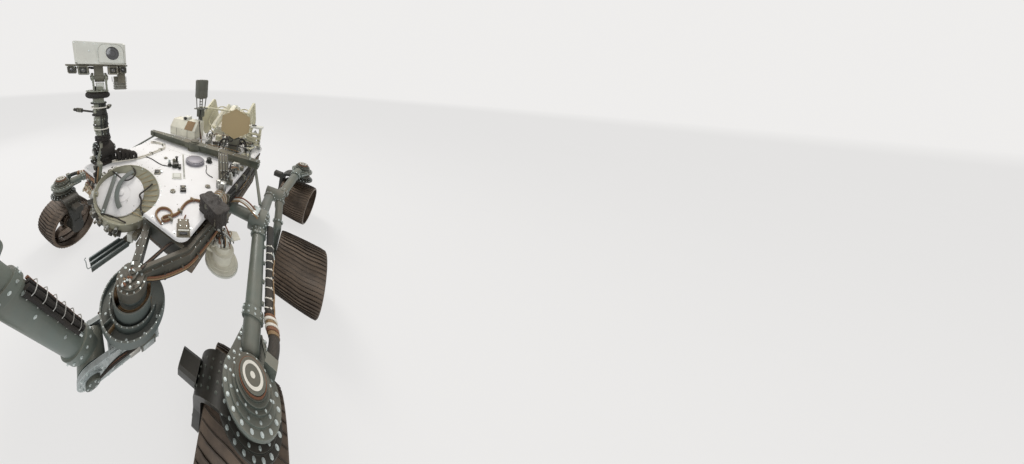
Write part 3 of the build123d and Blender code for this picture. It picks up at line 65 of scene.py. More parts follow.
# Places and sizes of the frame, in millimetres, as the construction has them
DECK_MIDDLE_X = 172.5
DECK_TOP = 1076
BODY_SIDE = 590
WHEEL_RADIUS = 263
WHEEL_CROWN = 6
WHEEL_HALF = 165
CORNER_TRACK = 1030
MIDDLE_TRACK = 1150
AXLES = (("front", 1100), ("rear", -1080))
TURN_RADIUS = 6200
FORK_TOP = 640
HOUSING_TOP = 816
LEG_END_Z = 742
ROCKER_PIVOT = (320, 850, 850)
ROCKER_FRONT = (995, 998, 742)
HARNESS_OUT = 76
HARNESS_RADIUS = 22
MAST_X, MAST_Y, HEAD_TURN = 800, -560, 63
HEAD_SIDE, TILT_SIDE = 57, 28
WINDOW_Y, WINDOW_Z, CAMERA_Z = 145, 2121.3, 1993.7
ARM_X, ARM_Y, ARM_TURN = 1262, 492, -20
DISH_X, DISH_Y = -330, 360
RELAY_X, RELAY_Y = -600, -260
CANISTER_X, CANISTER_Y = 690, 716
NOSE_X = 985
GENERATOR_LEAN = 28


class RoverSizes(bpy.types.PropertyGroup):
    """Sizes of the small parts."""
    tread_count: bpy.props.IntProperty(
        name="Treads", description="Raised bars round each wheel", default=48, min=12, max=72)
    tread_height: bpy.props.FloatProperty(
        name="Tread height", description="How far each bar stands out of the wheel's skin", default=0.008,
        min=0.002, max=0.012, subtype="DISTANCE", unit="LENGTH")
    tread_width: bpy.props.FloatProperty(
        name="Tread width", description="Thickness of each bar round the wheel", default=0.006,
        min=0.002, max=0.02, subtype="DISTANCE", unit="LENGTH")
    tread_bow: bpy.props.FloatProperty(
        name="Tread bow", description="How far the middle of a bar leads its ends", default=0.014,
        min=0.0, max=0.05, subtype="DISTANCE", unit="LENGTH")
    bolt: bpy.props.FloatProperty(
        name="Bolt", description="Radius of the large bolt heads", default=0.0054,
        min=0.002, max=0.012, subtype="DISTANCE", unit="LENGTH")


class RoverColours(bpy.types.PropertyGroup):
    """Colours of the main finishes."""
    deck: bpy.props.FloatVectorProperty(
        name="Deck", description="White paint on the deck", subtype="COLOR", size=3,
        default=(0.80, 0.788, 0.778))
    legs: bpy.props.FloatVectorProperty(
        name="Legs", description="Grey-green paint on the legs", subtype="COLOR", size=3,
        default=(0.112, 0.142, 0.124))
    wheels: bpy.props.FloatVectorProperty(
        name="Wheels", description="Dusty metal of the wheels", subtype="COLOR", size=3,
        default=(0.082, 0.062, 0.047))
    dust: bpy.props.FloatVectorProperty(
        name="Dust", description="Tan dust that settles on everything", subtype="COLOR", size=3,
        default=(0.36, 0.245, 0.155))


def sizes():
    """The small parts' sizes."""
    return bpy.context.scene.rover_sizes


def colours():
    """The main finishes' colours."""
    return bpy.context.scene.rover_colours


def tone(red, green, blue):
    """A screen colour, 0 to 255, as the linear colour that a shader takes."""
    return tuple((c / 255 / 12.92) if c < 11 else ((c / 255 + 0.055) / 1.055) ** 2.4
                 for c in (red, green, blue))


# Frames

def to_packed():
    """The design frame, in millimetres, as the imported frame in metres."""
    low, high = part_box("top_deck")
    return Matrix.Translation(((low.x + high.x) / 2 - DECK_MIDDLE_X * MM, 0, 0)) @ Matrix.Scale(MM, 4)


def about(axis, degrees):
    """A turn about a local axis."""
    return Matrix.Rotation(radians(degrees), 4, axis)


def turned(place, degrees_up=0, degrees_across=0):
    """A local frame at a place, turned about the upright axis and then about its own Y axis."""
    return Matrix.Translation(place) @ about("Z", degrees_up) @ about("Y", degrees_across)


def polar(reach, degrees, z=0):
    """A point at a reach and a direction about the upright axis."""
    return Vector((reach * cos(radians(degrees)), reach * sin(radians(degrees)), z))


def steer_angle(x, side):
    """A corner wheel's angle in the gentle left turn that the rover rests in."""
    return Vector((TURN_RADIUS - side * CORNER_TRACK, x)).angle_signed(Vector((1, 0))) * 180 / pi


def wheel_frames():
    """Each wheel's name and body, with its local frame: axle along Y and the origin at its middle."""
    found = []
    for name, side in SIDES:
        found.append(("middle_" + name, side, turned((0, side * MIDDLE_TRACK, WHEEL_RADIUS))))
        for end, x in AXLES:
            place = (x, side * CORNER_TRACK, WHEEL_RADIUS)
            found.append((end + "_" + name, side, turned(place, steer_angle(x, side))))
    return found


class Maker:
    """A piece in the making: a mesh in millimetres of a local frame, with one material number per face."""

    def __init__(self, local=Matrix()):
        self.bm = bmesh.new()
        self.local = local

    def _move(self, verts, matrix):
        bmesh.ops.transform(self.bm, matrix=matrix, verts=verts)

    def _paint(self, verts, number):
        for face in {f for v in verts for f in v.link_faces}:
            face.material_index = number

    def _bevel(self, edges, offset):
        return bmesh.ops.bevel(self.bm, geom=edges, offset=offset, segments=2, affect="EDGES", profile=0.5,
                               material=-1)["verts"]

    def drum(self, start, radius, height, axis=UP, top=None, segments=24, bevel=0.0, paint=0):
        """A disc, drum or cone that starts at a point and runs along an axis."""
        made = bmesh.ops.create_cone(self.bm, cap_ends=True, segments=segments, radius1=radius,
                                     radius2=radius if top is None else top, depth=height)["verts"]
        turn = Vector(UP).rotation_difference(Vector(axis)).to_matrix().to_4x4()
        self._move(made, Matrix.Translation(start) @ turn @ Matrix.Translation((0, 0, height / 2)))
        if bevel:
            rims = {e for v in made for e in v.link_edges if any(len(f.verts) > 4 for f in e.link_faces)}
            made = [v for v in made if v.is_valid] + self._bevel(list(rims), bevel)
        self._paint([v for v in made if v.is_valid], paint)

    def box(self, centre, size, turn=0, matrix=None, bevel=0.0, paint=0):
        """A box about a centre, turned about the upright axis or by a matrix, with softened edges."""
        made = bmesh.ops.create_cube(self.bm, size=1)["verts"]
        self._move(made, Matrix.Diagonal((*size, 1)))
        if bevel:
            made = self._bevel(list({e for v in made for e in v.link_edges}), bevel)
        turning = matrix if matrix is not None else about("Z", turn)
        self._move(made, Matrix.Translation(centre) @ turning)
        self._paint(made, paint)

    def bar(self, start, end, width, height, bevel=0.0, paint=0, up=UP):
        """A square bar from one point to another, its width across the upward direction."""
        start, end = Vector(start), Vector(end)
        run = end - start
        x = run.normalized()
        y = Vector(up).cross(x).normalized()
        turning = Matrix((x, y, x.cross(y))).transposed().to_4x4()
        self.box((start + end) / 2, (run.length, width, height), matrix=turning, bevel=bevel, paint=paint)

    def rod(self, start, end, radius, segments=12, bevel=0.0, paint=0):
        """A round bar from one point to another."""
        start, end = Vector(start), Vector(end)
        self.drum(start, radius, (end - start).length, end - start, None, segments, bevel, paint)

    def bolt(self, place, axis=UP, size=5.0, paint=0):
        """A washer and a six-sided head."""
        self.drum(place, size * 1.45, size * 0.3, axis, segments=12, paint=paint)
        self.drum(Vector(place) + Vector(axis).normalized() * size * 0.3, size, size * 0.9, axis, size * 0.9,
                  6, paint=paint)

    def bolts(self, xs, ys, zs, axis=UP, size=5.0, paint=0):
        """Bolts at every mix of the given places along X, Y and Z."""
        for place in product(*(v if isinstance(v, (tuple, list, range)) else (v,) for v in (xs, ys, zs))):
            self.bolt(place, axis, size, paint)

    def bolt_ring(self, centre, circle, count, axis=UP, size=5.0, first=0.0, span=360.0, paint=0):
        """Bolts round a circle about an axis, or along part of it."""
        turn = Vector(UP).rotation_difference(Vector(axis)).to_matrix()
        step = span / count if span >= 360 else span / max(count - 1, 1)
        for i in range(count):
            self.bolt(Vector(centre) + turn @ polar(circle, first + step * i), axis, size, paint)

    def spun(self, outline, axis="Y", steps=48, centre=(0, 0, 0), sweep=360.0, paint=0):
        """A closed outline, given as (reach along the axis, radius), spun about that axis."""
        way = {"X": AHEAD, "Y": LEFTWARD, "Z": UP}[axis]
        out = Vector(AHEAD if axis == "Z" else UP)
        verts = [self.bm.verts.new(Vector(centre) + Vector(way) * reach + out * r) for reach, r in outline]
        edges = [self.bm.edges.new((verts[i - 1], verts[i])) for i in range(len(verts))]
        before = set(self.bm.faces)
        bmesh.ops.spin(self.bm, geom=verts + edges, cent=centre, axis=way, angle=radians(sweep), steps=steps,
                       use_merge=sweep >= 360)
        for face in set(self.bm.faces) - before:
            face.material_index = paint

    def band(self, low, high, inner, outer, axis="Z", steps=32, centre=(0, 0, 0), sweep=360.0, paint=0):
        """A ring of square section about an axis."""
        outline = [(low, inner), (low, outer), (high, outer), (high, inner)]
        self.spun(outline, axis, steps, centre, sweep, paint)

    def prism(self, outline, depth, matrix=Matrix(), bevel=0.0, paint=0):
        """A plate on an outline in a plane, raised by a depth."""
        verts = [self.bm.verts.new((x, y, 0)) for x, y in outline]
        face = self.bm.faces.new(verts)
        raised = [v for v in bmesh.ops.extrude_face_region(self.bm, geom=[face])["geom"]
                  if isinstance(v, bmesh.types.BMVert)]
        self._move(raised, Matrix.Translation((0, 0, depth)))
        made = verts + raised
        if bevel:
            top = [e for e in {e for v in raised for e in v.link_edges} if all(v in raised for v in e.verts)]
            made += self._bevel(top, bevel)
        made = list({v for v in made if v.is_valid})
        self._move(made, matrix)
        self._paint(made, paint)

    def wire(self, points, radius, sides=8, closed=False, paint=0):
        """A round wire on one smooth line that the points steer."""
        line = bpy.data.curves.new("wire", "CURVE")
        line.dimensions = "3D"
        spline = line.splines.new("NURBS")
        spline.points.add(len(points) - 1)
        for spot, point in zip(spline.points, points):
            spot.co = (*point, 1)
        spline.order_u = 3
        spline.use_endpoint_u = line.use_fill_caps = not closed
        spline.use_cyclic_u = closed
        line.resolution_u = 4
        line.bevel_depth = radius
        line.bevel_resolution = max(sides // 4 - 1, 0)
        holder = bpy.data.objects.new("wire", line)
        mesh = bpy.data.meshes.new_from_object(holder)
        bpy.data.objects.remove(holder)
        bpy.data.curves.remove(line)
        self.stamp(mesh, Matrix(), paint)
        bpy.data.meshes.remove(mesh)

    def stamp(self, mesh, matrix, paint=None):
        """A copy of a finished mesh, placed by a matrix, with its own material numbers or one for all."""
        verts, faces = len(self.bm.verts), len(self.bm.faces)
        self.bm.from_mesh(mesh)
        self.bm.verts.ensure_lookup_table()
        self.bm.faces.ensure_lookup_table()
        self._move(self.bm.verts[verts:], matrix)
        if paint is not None:
            for face in self.bm.faces[faces:]:
                face.material_index = paint

    def mesh(self, name):
        """The mesh so far in its local millimetres, with its own bmesh freed."""
        made = bpy.data.meshes.new(name)
        self.bm.to_mesh(made)
        self.bm.free()
        return made

    def clean(self):
        """Joins corners that meet and turns the faces outwards."""
        bmesh.ops.remove_doubles(self.bm, verts=self.bm.verts, dist=0.01)
        bmesh.ops.recalc_face_normals(self.bm, faces=self.bm.faces)

    def finish(self, name, body, slot, *finishes):
        """Places the piece and lets it ride on a body. Its finishes stand in the order of face numbers."""
        self.clean()
        self._move(self.bm.verts, PACKED @ self.local)
        return settle(self.mesh(name), name, body, finishes)


def settle(mesh, name, body, finishes=(), smooth=35.0):
    """Puts a finished mesh in the scene as a piece on a body."""
    for finish in finishes:
        mesh.materials.append(finish_of(finish))
    mesh.polygons.foreach_set("use_smooth", [True] * len(mesh.polygons))
    mesh.set_sharp_from_angle(angle=radians(smooth))
    piece = bpy.data.objects.new(name, mesh)
    bpy.context.scene.collection.objects.link(piece)
    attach(piece, body)
    return piece


# Finishes

def node(tree, kind, links=None, **settings):
    """A shader node with its settings, and its inputs set to values or linked to other nodes' outputs."""
    made = tree.nodes.new("ShaderNode" + kind)
    for key, value in settings.items():
        setattr(made, key, value)
    for key, value in (links or {}).items():
        if isinstance(value, bpy.types.NodeSocket):
            tree.links.new(value, made.inputs[key])
        else:
            made.inputs[key].default_value = value
    return made


def maths(tree, operation, first, second):
    """One arithmetic node's output, held between 0 and 1."""
    return node(tree, "Math", {0: first, 1: second}, operation=operation, use_clamp=True).outputs[0]


def blend_colour(tree, factor, first, second):
    """A mix of two colours by a mask."""
    return node(tree, "Mix", {0: factor, 6: first, 7: second}, data_type="RGBA").outputs[2]


def blend_value(tree, factor, first, second):
    """A mix of two numbers by a mask."""
    return node(tree, "Mix", {0: factor, 2: first, 3: second}, data_type="FLOAT").outputs[0]


def span(tree, value, low, high, to_low=0.0, to_high=1.0):
    """A value from one range as another, held at its ends."""
    return node(tree, "MapRange", {0: value, 1: low, 2: high, 3: to_low, 4: to_high}).outputs[0]


def cloud(tree, place, scale, detail, rough=0.5):
    """Soft noise over a place."""
    links = {"Vector": place, "Scale": scale, "Detail": detail, "Roughness": rough}
    return node(tree, "TexNoise", links).outputs[0]


def emptied(owner):
    """The node tree of a material or world, with its first nodes gone."""
    owner.use_nodes = True
    owner.node_tree.nodes.clear()
    return owner.node_tree


def group(name, inputs, output, build):
    """A shared effect: a node group with named inputs and outputs, built once."""
    if name in bpy.data.node_groups:
        return bpy.data.node_groups[name]
    tree = bpy.data.node_groups.new(name, "ShaderNodeTree")
    tree.interface.new_socket(name="Vector", in_out="INPUT", socket_type="NodeSocketVector")
    for label, default in inputs:
        socket = tree.interface.new_socket(name=label, in_out="INPUT", socket_type="NodeSocketFloat")
        socket.default_value = default
    for label in output:
        tree.interface.new_socket(name=label, in_out="OUTPUT", socket_type="NodeSocketFloat")
    start, end = tree.nodes.new("NodeGroupInput"), tree.nodes.new("NodeGroupOutput")
    for label, value in zip(output, build(tree, start.outputs)):
        tree.links.new(value, end.inputs[label])
    return tree


def build_dust(tree, given):
    """Patches of dust, thicker on what faces up."""
    broad = cloud(tree, given["Vector"], given["Scale"], 6.0, 0.62)
    fine = cloud(tree, given["Vector"], 160.0, 3.0)
    facing = node(tree, "SeparateXYZ", {0: node(tree, "TexCoord").outputs["Normal"]}).outputs[2]
    lying = maths(tree, "MULTIPLY", span(tree, facing, 0.15, 0.95), given["Lying"])
    loose = maths(tree, "MULTIPLY", span(tree, broad, 0.36, 0.68), given["Amount"])
    both = maths(tree, "ADD", loose, maths(tree, "MULTIPLY", lying, span(tree, broad, 0.25, 0.6, 0.5, 1.0)))
    return [maths(tree, "MULTIPLY", both, span(tree, fine, 0.3, 0.62, 0.72, 1.0))]


def build_grain(tree, given):
    """Fine unevenness: a slow change of tone and a fine one of height."""
    slow = cloud(tree, given["Vector"], given["Scale"], 5.0, 0.55)
    fine = cloud(tree, given["Vector"], given["Fine scale"], 3.0)
    return [span(tree, slow, 0.3, 0.7), fine]


def build_wear(tree, given):
    """Rubbed edges, found from how far a rounded normal leans away from the true one."""
    rounded = node(tree, "Bevel", {"Radius": given["Radius"]}, samples=4).outputs[0]
    true = node(tree, "NewGeometry").outputs["Normal"]
    lean = node(tree, "VectorMath", {0: rounded, 1: true}, operation="DOT_PRODUCT").outputs["Value"]
    edge = span(tree, lean, 0.985, 0.80)
    patchy = span(tree, cloud(tree, given["Vector"], 38.0, 4.0), 0.28, 0.52, 0.35, 1.0)
    return [maths(tree, "MULTIPLY", maths(tree, "MULTIPLY", edge, patchy), given["Amount"])]


def build_braid(tree, given):
    """Over-and-under threads of a wrapped sleeve or a woven cloth."""
    scaled = node(tree, "VectorMath", {0: given["Vector"], 3: given["Scale"]}, operation="SCALE").outputs[0]
    ways = []
    for turn in (0.9, -0.9):
        leaned = node(tree, "VectorRotate", {"Vector": scaled, "Angle": turn}, rotation_type="X_AXIS")
        links = {"Vector": leaned.outputs[0], "Scale": 1.0, "Distortion": 1.2, "Detail": 1.0}
        ways.append(node(tree, "TexWave", links, bands_direction="DIAGONAL").outputs[1])
    return [maths(tree, "MULTIPLY", *ways)]


SHARED = {
    # effect: name, inputs with their own values, outputs, builder
    "dust": ("Settled dust", (("Scale", 4.0), ("Amount", 0.3), ("Lying", 0.3)), ("Mask",), build_dust),
    "grain": ("Uneven surface", (("Scale", 9.0), ("Fine scale", 300.0)), ("Tone", "Height"), build_grain),
    "wear": ("Rubbed edges", (("Radius", 0.003), ("Amount", 0.6)), ("Mask",), build_wear),
    "braid": ("Braided threads", (("Scale", 900.0),), ("Threads",), build_braid),
}


def surface(name, colour, rough, metal=0.0, dust=0.2, lying=0.2, dust_scale=4.0, wear=0.0, worn=(0, 0, 0),
            wear_radius=0.003, scale=9.0, fine=300.0, mottle=0.18, bump=0.12, coat=0.0, braid=0.0):
    """A painted, metal, plastic or cloth finish with uneven tone, fine grain, rubbed edges and dust."""
    made = bpy.data.materials.new(name)
    tree = emptied(made)
    shared = {key: group(*rest) for key, rest in SHARED.items()}
    place = node(tree, "TexCoord").outputs["Object"]

    def effect(key, **values):
        links = {label.capitalize().replace("_", " "): value for label, value in values.items()}
        return node(tree, "Group", {"Vector": place, **links}, node_tree=shared[key]).outputs

    grain = effect("grain", scale=scale, fine_scale=fine)
    darker = (*(c * (1 - mottle * 1.6) for c in colour), 1)
    lighter = (*(min(c * (1 + mottle), 1) for c in colour), 1)
    shade, height = blend_colour(tree, grain["Tone"], darker, lighter), grain["Height"]
    if braid:
        height = effect("braid", scale=braid)[0]
        shade = blend_colour(tree, height, (*(c * 0.45 for c in colour), 1), shade)
    shine = span(tree, grain["Tone"], 0.0, 1.0, rough * 0.85, min(rough * 1.15, 1))
    if wear:
        shade = blend_colour(tree, effect("wear", amount=wear, radius=wear_radius)[0], shade,
                             (*tone(*worn), 1))
    mask = effect("dust", amount=dust, lying=lying, scale=dust_scale)[0]
    shade = blend_colour(tree, mask, shade, (*colours().dust, 1))
    raised = node(tree, "Bump", {"Strength": bump, "Distance": 0.002, "Height": height})
    shader = node(tree, "BsdfPrincipled",
                  {"Base Color": shade, "Roughness": blend_value(tree, mask, shine, 0.92),
                   "Normal": raised.outputs[0], "Coat Weight": coat})
    if metal:
        tree.links.new(blend_value(tree, mask, metal, 0.0), shader.inputs["Metallic"])
    node(tree, "OutputMaterial", {"Surface": shader.outputs[0]})
    return made


def glass_finish(name, colour):
    """Dark coated glass with a faint haze."""
    made = bpy.data.materials.new(name)
    tree = emptied(made)
    haze = cloud(tree, node(tree, "TexCoord").outputs["Object"], 30.0, 4.0)
    shade = blend_colour(tree, haze, (*colour, 1), (*(c * 2.2 + 0.004 for c in colour), 1))
    shader = node(tree, "BsdfPrincipled",
                  {"Base Color": shade, "Roughness": span(tree, haze, 0.3, 0.7, 0.04, 0.14),
                   "Coat Weight": 1.0, "Specular IOR Level": 0.8})
    node(tree, "OutputMaterial", {"Surface": shader.outputs[0]})
    return made


GLASS = {"lens glass": (0.006, 0.006, 0.008)}
FINISHES = {
    # finish: colour on screen or the name of a colour in the panel, roughness, other values of surface()
    "deck white": ("deck", 0.5,
                   dict(dust=0.10, lying=0.05, dust_scale=2.6, mottle=0.025, scale=3.0, bump=0.04)),
    "chalky white": ((214, 215, 206), 0.6, dict(dust=0.16, lying=0.06, mottle=0.07, scale=5.0, wear=0.3,
                                                worn=(235, 235, 230))),
    "cream white": ((218, 215, 198), 0.6, dict(dust=0.14, lying=0.08, mottle=0.1, wear=0.25,
                                               worn=(120, 110, 90))),
    "leg grey": ("legs", 0.42, dict(dust=0.16, lying=0.18, mottle=0.12, wear=0.55, worn=(150, 160, 152),
                                    scale=6.0, coat=0.15)),
    "plate grey": ((66, 76, 71), 0.4, dict(metal=0.35, dust=0.16, lying=0.14, wear=0.6, worn=(128, 138, 132),
                                           scale=7.0)),
    "fork black": ((38, 41, 38), 0.42, dict(metal=0.2, dust=0.05, lying=0.06, wear=0.7, worn=(104, 106, 98),
                                            scale=8.0)),
    "bracket grey": ((64, 68, 62), 0.5, dict(dust=0.12, lying=0.14, wear=0.6, worn=(140, 146, 138))),
    "ring grey": ((84, 96, 94), 0.55, dict(dust=0.1, lying=0.12, mottle=0.1, wear=0.4, worn=(130, 142, 138),
                                           scale=6.0)),
    "machined silver": ((170, 177, 176), 0.38,
                        dict(metal=0.4, dust=0.1, lying=0.08, wear=1.0, wear_radius=0.006,
                                                    worn=(196, 208, 208), scale=12.0, fine=500.0)),
    "bare metal": ((168, 170, 166), 0.32, dict(metal=0.85, dust=0.16, lying=0.12, wear=0.4,
                                               worn=(220, 224, 222), scale=14.0, fine=600.0)),
    "bolt metal": ((206, 214, 212), 0.28, dict(metal=0.8, dust=0.08, lying=0.04, mottle=0.08)),
    "body brown": ((78, 71, 60), 0.6,
                   dict(metal=0.15, dust=0.24, lying=0.14, mottle=0.22, scale=4.0, wear=0.4,
                                           worn=(150, 138, 116))),
    "store beige": ((150, 148, 128), 0.5,
                    dict(metal=0.2, dust=0.1, lying=0.06, mottle=0.2, scale=5.0, wear=0.5,
                                               worn=(186, 182, 160))),
    "mast grey": ((128, 132, 118), 0.5, dict(dust=0.2, lying=0.16, mottle=0.2, scale=12.0, wear=0.5,
                                             worn=(186, 188, 176))),
    "harness slate": ((50, 57, 58), 0.7, dict(dust=0.07, lying=0.1, braid=520.0, bump=0.5)),
    "harness black": ((28, 28, 26), 0.7, dict(dust=0.05, lying=0.05, braid=420.0, bump=0.5)),
    "copper braid": ((158, 102, 72), 0.5, dict(metal=0.3, dust=0.16, lying=0.1, braid=700.0, bump=0.4)),
    "tan cable": ((176, 142, 98), 0.55, dict(dust=0.15, lying=0.1, braid=700.0, bump=0.3)),
    "tie white": ((226, 222, 210), 0.6, dict(dust=0.12, lying=0.06, mottle=0.06)),
    "wheel skin": ("wheels", 0.38,
                   dict(metal=0.55, dust=0.3, lying=0.0, dust_scale=7.0, mottle=0.3, scale=11.0,
                                        wear=0.4, worn=(140, 132, 122))),
    # the treads' dark colour is painted shade: it stands in for the thin shadow lines that the bars cast in
    # hard sunlight
    "tread dark": ((44, 37, 31), 0.45, dict(metal=0.5, dust=0.12, lying=0.0, dust_scale=8.0, wear=0.5,
                                            worn=(120, 112, 102))),
    "dish gold": ((152, 134, 98), 0.5,
                  dict(metal=0.25, dust=0.1, lying=0.04, mottle=0.05, scale=3.0, wear=0.5,
                                            worn=(206, 196, 160))),
    "antenna grey": ((78, 82, 74), 0.55, dict(dust=0.14, lying=0.14, mottle=0.16, scale=10.0, wear=0.3,
                                              worn=(120, 124, 114))),
    "fin cream": ((200, 196, 168), 0.55, dict(dust=0.16, lying=0.08, mottle=0.1, wear=0.35,
                                              worn=(236, 234, 214))),
    "bar olive": ((84, 88, 77), 0.5, dict(metal=0.2, dust=0.12, lying=0.16, mottle=0.18, scale=8.0, wear=0.5,
                                          worn=(150, 150, 134))),
    "blanket dark": ((33, 28, 25), 0.5, dict(dust=0.05, lying=0.03, mottle=0.3, scale=16.0, braid=600.0,
                                             bump=0.35)),
    "box grey": ((104, 104, 92), 0.5, dict(metal=0.2, dust=0.2, lying=0.14, mottle=0.16, wear=0.6,
                                           worn=(176, 178, 166))),
    "plate bead": ((158, 146, 122), 0.5, dict(metal=0.6, dust=0.14, lying=0.06, mottle=0.06, fine=900.0,
                                              wear=0.3, worn=(196, 188, 168))),
    "disc lavender": ((132, 130, 138), 0.45, dict(metal=0.3, dust=0.08, lying=0.05, mottle=0.06)),
}


def finish_of(name):
    """A finish by its name, made when it is first asked for."""
    if name in bpy.data.materials:
        return bpy.data.materials[name]
    if name in GLASS:
        return glass_finish(name, GLASS[name])
    colour, rough, rest = FINISHES[name]
    colour = tuple(getattr(colours(), colour)) if isinstance(colour, str) else tone(*colour)
    return surface(name, colour, rough, **rest)


NODE_FINISH = {
    # node or the start of its name: finish
    "body_tub": "body brown", "top_deck": "deck white", "belly_plate": "bare metal",
    "arm_bracket": "bracket grey", "shoulder_ring": "ring grey", "bit_carousel": "store beige",
    "front_tray": "ring grey", "front_cameras": "box grey", "calibration_target": "plate bead",
    "side_canister": "cream white", "blanket_box": "blanket dark", "deck_fixtures": "box grey",
    "corner_camera": "box grey", "rear_box": "cream white", "relay_antenna": "antenna grey",
    "antenna_post": "box grey", "generator_panels": "fin cream", "generator": "cream white",
    "differential_bar": "bar olive", "mast_base": "harness black", "mast_tube": "mast grey",
    "wind_booms": "fork black", "mast_yoke": "mast grey", "camera_bar": "box grey",
    "mast_head": "chalky white", "head_window": "lens glass", "mast_cameras": "box grey",
    "dish_yoke": "antenna grey", "dish": "dish gold", "shoulder_turntable": "machined silver",
    "upper_arm": "leg grey", "forearm": "leg grey", "wrist": "plate grey", "turret_core": "plate grey",
    "drill": "box grey", "turret_instruments": "bracket grey", "wheel_": "wheel skin", "fork_": "fork black",
    "steering_drive_": "plate grey", "rocker_cable_": "harness slate", "differential_link_": "leg grey",
    "rocker_": "leg grey", "bogie_": "leg grey",
}


class ROVER_OT_finish_frame(bpy.types.Operator):
    """Gives each node of the frame its finish"""
    bl_idname = "rover.finish_frame"
    bl_label = "Finish the frame"

    def execute(self, context):
        for name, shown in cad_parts.items():
            start = next(start for start in NODE_FINISH if name.startswith(start))
            shown.data.materials.clear()
            shown.data.materials.append(finish_of(NODE_FINISH[start]))
        return {"FINISHED"}


# Wheels

def wheel_mesh():
    """One wheel about its axle: a crowned skin with rolled lips, curved treads coloured dark as painted
    shade, six spokes and a hub.
    """
    own = sizes()
    rise, wide, bow = own.tread_height / MM, own.tread_width / MM, own.tread_bow / MM
    rim = WHEEL_RADIUS - WHEEL_CROWN - rise
    maker = Maker()

    def crown(y):
        return rim + WHEEL_CROWN * (1 - (y / WHEEL_HALF) ** 2)

    inner = rim - 6
    outside = [(y, crown(y)) for y in (-160, -120, -80, -40, 0, 40, 80, 120, 160)]
    lip = [(165, rim - 4), (165, inner - 14), (157, inner - 14), (157, inner - 1)]
    inside = list(lip)
    for low, high in ((40, 52), (-52, -40)):
        inside += [(high, inner), (high, inner - 12), (low, inner - 12), (low, inner)]
    inside += [(-y, radius) for y, radius in lip[::-1]]
    maker.spun(outside + inside, steps=96)

    tread = Maker()
    blank = bmesh.ops.create_cube(tread.bm, size=1)["verts"]
    bmesh.ops.transform(tread.bm, matrix=Matrix.Diagonal((wide, 2 * WHEEL_HALF - 8, rise + 3, 1)),
                        verts=blank)
    long_edges = [e for e in tread.bm.edges if abs(e.verts[0].co.y - e.verts[1].co.y) > 1]
    bmesh.ops.subdivide_edges(tread.bm, edges=long_edges, cuts=9, use_grid_fill=True)
    for vert in tread.bm.verts:
        y = vert.co.y
        top = vert.co.z > 0
        end = max(abs(y) - WHEEL_HALF + 24, 0) / 24
        reach = crown(y) + (rise * (1 - 0.75 * end ** 2) if top else -3)
        lead = bow * (cos(pi * y / (2 * WHEEL_HALF)) - 0.5) + 3 * sin(2 * pi * y / WHEEL_HALF)
        vert.co = Vector(((vert.co.x * (0.7 if top else 1.0)) + lead, y, reach))
    bar = tread.mesh("tread")
    # every bar takes finish 1, the tread finish, whose dark colour is painted shade along the bars
    for i in range(own.tread_count):
        maker.stamp(bar, Matrix.Rotation(2 * pi * i / own.tread_count, 4, "Y"), 1)
    bpy.data.meshes.remove(bar)

    spoke = spoke_mesh(inner)
    for i in range(6):
        maker.stamp(spoke, about("Y", -60 * i))
    bpy.data.meshes.remove(spoke)
    maker.spun([(-75, 31), (-75, 62), (-71, 66), (-55, 66), (-55, 74), (-51, 78), (-8, 78), (-8, 93),
                (-5, 96), (5, 96), (8, 93), (8, 78), (51, 78), (55, 74), (55, 66), (71, 66), (75, 62),
                (75, 31)], steps=48)
    for way in (-1, 1):
        maker.bolt_ring((0, way * 75, 0), 54, 8, axis=(0, way, 0), size=4.5, paint=2)
        maker.bolt_ring((0, way * 8, 0), 87, 12, axis=(0, way, 0), size=3.5, first=15, paint=2)
    maker.clean()
    mesh = maker.mesh("wheel")
    # the second finish colours the treads dark as painted shade
    for name in ("wheel skin", "tread dark", "bolt metal"):
        mesh.materials.append(finish_of(name))
    return mesh


def spoke_mesh(inner):
    """One spoke: a curved strip from the hub to its riveted foot on the skin."""
    maker = Maker()
    root, foot = 74, inner - 4
    middle = Vector(((root + inner) / 2 * cos(radians(28)), (root + inner) / 2 * sin(radians(28))))
    cx = (root + foot) / 2
    half = (foot - root) / 2
    cy = (half ** 2 - (middle.x - cx) ** 2 - middle.y ** 2) / (-2 * middle.y)
    radius = sqrt(half ** 2 + cy ** 2)
    sweep = 2 * pi - 2 * abs(Vector((0, -1)).angle(Vector((root - cx, -cy))))
    if cy < 0:
        sweep = 2 * pi - sweep
    corners = [(cx + (root - cx) * k, 35 * s, cy - cy * k) for k,
               s in ((1 - 4 / radius, -1), (1 + 4 / radius, -1), (1 + 4 / radius, 1), (1 - 4 / radius, 1))]
    face = maker.bm.faces.new([maker.bm.verts.new(c) for c in corners])
    bmesh.ops.spin(maker.bm, geom=[face] + list(face.edges) + list(face.verts), cent=(cx, 0, cy),
                   axis=LEFTWARD, angle=sweep, steps=18)
    maker.box((inner - 4, 0, 0), (8, 70, 60), bevel=1.5)
    for y in (-24, 24):
        for z in (-22, 22):
            maker.drum((inner - 8, y, z), 4.5, 3, axis=(-1, 0, 0), segments=8, paint=2)
    return maker.mesh("spoke")


class ROVER_OT_wheels(bpy.types.Operator):
    """Makes the six wheels with their treads and spokes"""
    bl_idname = "rover.wheels"
    bl_label = "Wheels"

    def execute(self, context):
        plain = wheel_mesh()
        for name, _, place in wheel_frames():
            mesh = plain.copy()
            mesh.transform(PACKED @ place)
            wheel = settle(mesh, "wheel_" + name + "_full", "wheel_" + name)
            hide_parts("wheel_" + name)
        bpy.data.meshes.remove(plain)
        return {"FINISHED"}


# Legs and steering

